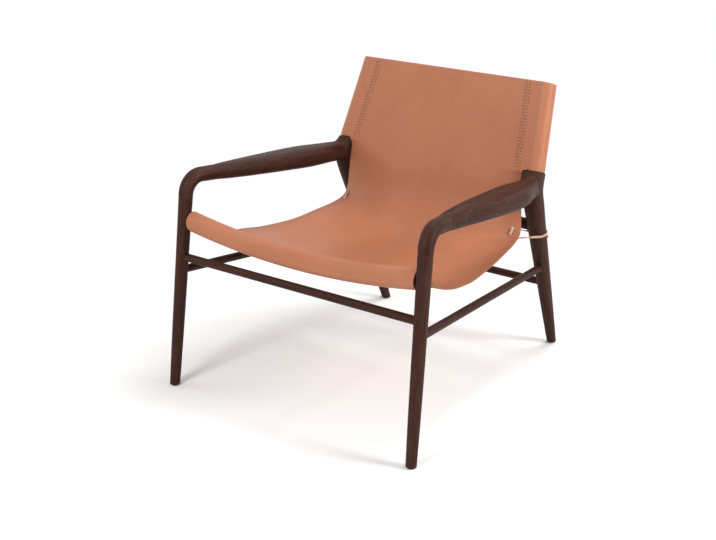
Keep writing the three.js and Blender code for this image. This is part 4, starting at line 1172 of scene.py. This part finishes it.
def makeGlides():
    spec = fasteners
    wide, high, soft = spec["glideRadius"], spec["glideHeight"], spec["glideRound"]
    profile = [(wide - soft + out, soft - up) for up, out in arc(soft, spec["glideAngles"])]
    points, names = [], []
    for end, at in (("front", frontAt), ("rear", rearAt)):
        for sideName, sign in (("left", 1), ("right", -1)):
            foot = at(lines["glide"])
            points.append(Vector((foot.x * sign, foot.y, 0)))
            names.append("glide_%s_%s" % (end, sideName))
    makeCopies("footGlides", profile + [(wide, high)], spec["glideSides"], points, [zAxis] * 4, nylon,
               names)


makeScrews()
makeGlides()
print("screws and glides made")


# Laces: a flat strip through two slots in the sling, round the rear leg and knotted behind it
legLean = atan2(lines["rearFoot"].y - lines["bend"].y, lines["bend"].z)
rearAxis = (lines["bend"] - lines["rearFoot"]).normalized()
laceOffset = lace["halfThickness"] + lines["gap"] * lace["legGaps"]
laceHeight = bars["backRailHeight"] - lace["drop"]
innerHeight = bars["backRailHeight"] - lace["innerDrop"]
knotHeight = laceHeight + lace["rise"]


def roundLeg(degrees, height):
    centre, radius, angle = rearAt(height), rearRadiusAt(height), radians(degrees)
    sideways = (radius + laceOffset) * cos(angle)
    backwards = (radius / cos(legLean) + laceOffset) * sin(angle)
    return centre + Vector((sideways, backwards, 0))


def legArc(degrees, fromHeight, toHeight):
    # places on the leg, with the direction across the strip
    steps = round(abs(degrees[1] - degrees[0]) / lace["arcStep"])
    shares = [i / steps for i in range(steps + 1)]
    return [(roundLeg(mixed(*degrees, t), mixed(fromHeight, toHeight, t)), rearAxis) for t in shares]


def offSling(slot, distance):
    return slot[0] + slot[1] * distance


knotCentre = roundLeg(90, knotHeight) + Vector((0, lace["knot"][1] - lace["halfThickness"], 0))


def laceRoute():
    lowerAcross, upperAcross = alongSlot(lowerSlot), alongSlot(upperSlot)
    behind = -(bars["leather"] + lace["loop"])
    hug = slotRun * lace["slotGap"] * lace["hugShare"]
    lift = laceOffset + lace["bulge"]

    def near(slot, other):
        beside = offSling(slot, laceOffset + lines["gap"] * lace["slingGaps"])
        return beside.lerp(offSling(other, laceOffset), lace["nearShare"])

    inner = legArc(lace["innerArc"], knotHeight, innerHeight)
    outer = legArc(lace["outerArc"], laceHeight, knotHeight)
    leaving, upperBack, lowerBack = inner[-1][0], offSling(upperSlot, behind), offSling(lowerSlot, behind)
    toUnder, underShare, toSlot = lace["innerShares"]
    under = leaving.lerp(upperBack, underShare)
    under.z = bars["backRailHeight"] - bars["backRailRadius"] - laceOffset - lace["halfThickness"]
    outwards = [lowerBack.lerp(outer[0][0], share) for share in lace["outerShares"]]
    middle = offSling(lowerSlot, lift).lerp(offSling(upperSlot, lift), 0.5)
    inUpper = offSling(upperSlot, -bars["leather"] / 2) - hug
    inLower = offSling(lowerSlot, -bars["leather"] / 2) + hug
    stations = [(knotCentre, rearAxis)] + inner
    for across, points in (
            (rearAxis, [leaving.lerp(under, toUnder)]),
            (xAxis, [under, under.lerp(upperBack, toSlot)]),
            (upperAcross, [upperBack, inUpper, near(upperSlot, lowerSlot), middle]),
            (lowerAcross, [near(lowerSlot, upperSlot), inLower, lowerBack]),
            (xAxis, outwards[:2]),
            (rearAxis, outwards[2:])):
        stations += [(point, across) for point in points]
    return stations + outer + [(knotCentre, rearAxis)]


def smoothLine(stations):
    # centripetal curve through the stations, at an even spacing, with the direction across
    points = [point for point, _ in stations]
    points = [points[0] * 2 - points[1]] + points + [points[-1] * 2 - points[-2]]
    dense = []
    for i in range(len(stations) - 1):
        four, knots = points[i:i + 4], [0.0]
        for a, b in zip(four, four[1:]):
            knots.append(knots[-1] + max(1e-6, (b - a).length ** 0.5))
        steps = max(2, round((four[2] - four[1]).length / lace["spacing"]))
        for share in [s / steps for s in range(steps)]:
            t, level = mixed(knots[1], knots[2], share), four
            # each pass draws the points together between the knots that it names
            for spans in (((0, 1), (1, 2), (2, 3)), ((0, 2), (1, 3)), ((1, 2),)):
                level = [a.lerp(b, (t - knots[low]) / (knots[high] - knots[low]))
                         for a, b, (low, high) in zip(level, level[1:], spans)]
            dense.append((level[0], stations[i][1].lerp(stations[i + 1][1], share)))
    return dense + [stations[-1]]


def stripSection():
    # the strip's outline with small round edges, as distances across and through it
    wide, thick, soft = lace["halfWidth"], lace["halfThickness"], lace["round"]
    outline = []
    for x, y, start in ((1, 1, 0), (-1, 1, 90), (-1, -1, 180), (1, -1, 270)):
        for a, b in arc(soft, range(start, start + 91, lace["edgeStep"])):
            outline.append((x * (wide - soft) + a, y * (thick - soft) + b))
    return outline


def strip(stations, verts, faces):
    line, outline = smoothLine(stations), stripSection()
    centres = [centre for centre, _ in line]
    faces += tube(len(line), len(outline), len(verts))
    for (centre, across), along in zip(line, tangentsAlong(centres)):
        side = squareTo(across, along)
        up = along.cross(side)
        verts += [centre + side * a + up * b for a, b in outline]
    return pathLength(centres)


def knotBand(turn):
    # one turn of the knot: a closed band round the strands, leaning a little
    wide, deep = lace["knot"]
    lean = lace["knotLean"] * turn
    across = Vector((1, 0, -lean)).normalized()
    stations = []
    for k in range(lace["knotSteps"] + 1):
        angle = 2 * pi * k / lace["knotSteps"]
        place = Vector((wide * lean * sin(angle), deep * cos(angle), wide * sin(angle)))
        stations.append((knotCentre + place, across))
    return stations


def tail(side):
    # one end of the lace, falling from the knot, swinging out and lifting off the leg a little
    near, swing = lace["tailSwing"]
    rest, lift = lace["tailLift"]
    stations = []
    for share in lace["tailShares"]:
        away = Vector((side * lace["halfWidth"] * (near + share * swing),
                       lace["halfThickness"] * (rest + lift * share * (1 - share)), 0))
        across = Vector((1, 0, lace["tailTurn"] * side * share))
        stations.append((knotCentre - rearAxis * lace["tail"] * share + away, across))
    return stations


def makeLace(side):
    sideName, mirror, _ = side
    verts, faces = [], []
    length = strip(laceRoute(), verts, faces)
    for turn in (1, -1):
        strip(knotBand(turn), verts, faces)
    for end in (-1, 1):
        length += strip(tail(end), verts, faces)
    verts = mirrored(verts) if mirror else verts
    obj = newPiece("lace" + sideName, verts, faces, smooth=60, flipped=mirror)
    obj.data.materials.append(laceLeather)
    declare(obj, ["lace_" + sideName.lower()])
    return length


laceLength = makeLace(leftSide)
makeLace(rightSide)
print("laces made, each", round(laceLength, 3), "m long")


# Floor, world and lamps
studio = {
    "floorSize": 12.0, "floorColor": (0.96, 0.96, 0.96), "floorGlow": 0.05, "ambient": 0.46,
    "shadowReach": (0.75, 1.25),    # from the chair's middle: the floor's shadows fade out between these
    "lamps": [
        # name, place, aim, size, power
        ("sideLamp", (2.9, 0.6, 1.9), (0, 0, 0.3), 1.1, 72),
        ("frontLamp", (-0.1, -3.0, 2.3), (0, 0, 0.4), 1.2, 56),
        ("leftLamp", (-2.7, -1.2, 1.7), (0, 0, 0.4), 1.8, 15),
        ("topLamp", (0.4, 0.9, 3.4), (0, 0, 0.3), 1.6, 50),
    ],
}


def emptyTree(owner):
    owner.use_nodes = True
    owner.node_tree.nodes.clear()
    return Nodes(owner.node_tree)


def seenDirectly(nodes):
    rays = nodes.add("ShaderNodeLightPath").outputs
    reflected = nodes.maths("MAXIMUM", rays["Is Glossy Ray"], rays["Is Transmission Ray"])
    return nodes.maths("MAXIMUM", rays["Is Camera Ray"], reflected)


def makeFloor():
    size = studio["floorSize"]
    corners = [Vector((x * size, y * size, 0)) for x, y in ((-1, -1), (1, -1), (1, 1), (-1, 1))]
    floor = newPiece("floor", corners, [(0, 1, 2, 3)])
    material = bpy.data.materials.new("paleFloor")
    nodes = emptyTree(material)
    away = nodes.get("ShaderNodeVectorMath", {0: nodes.objectPlace()}, "Value", operation="LENGTH")
    share = nodes.ranged(away, studio["shadowReach"], (studio["floorGlow"], 1.0),
                         interpolation_type="SMOOTHSTEP")
    matt = nodes.get("ShaderNodeBsdfDiffuse", {"Color": (*studio["floorColor"], 1)})
    glow = nodes.get("ShaderNodeEmission", {"Color": (1, 1, 1, 1), "Strength": 1.0})
    share = nodes.maths("MULTIPLY", seenDirectly(nodes), share)
    mix = nodes.get("ShaderNodeMixShader", {0: share, 1: matt, 2: glow})
    nodes.add("ShaderNodeOutputMaterial", {"Surface": mix})
    floor.data.materials.append(material)


def makeWorld():
    world = bpy.data.worlds.new("studio")
    bpy.context.scene.world = world
    nodes = emptyTree(world)
    strength = nodes.ranged(seenDirectly(nodes), (0.0, 1.0), (studio["ambient"], 1.0))
    sky = nodes.get("ShaderNodeBackground", {"Color": (1, 1, 1, 1), "Strength": strength})
    nodes.add("ShaderNodeOutputWorld", {"Surface": sky})


def makeLamps():
    for name, place, aim, width, power in studio["lamps"]:
        data = bpy.data.lights.new(name, "AREA")
        change(data, shape="DISK", size=width, energy=power)
        turn = (Vector(aim) - Vector(place)).to_track_quat("-Z", "Y").to_matrix().to_4x4()
        placed(name, data).matrix_world = Matrix.Translation(place) @ turn


makeFloor()
makeWorld()
makeLamps()
bpy.context.scene.view_settings.view_transform = "Standard"
print("studio made")
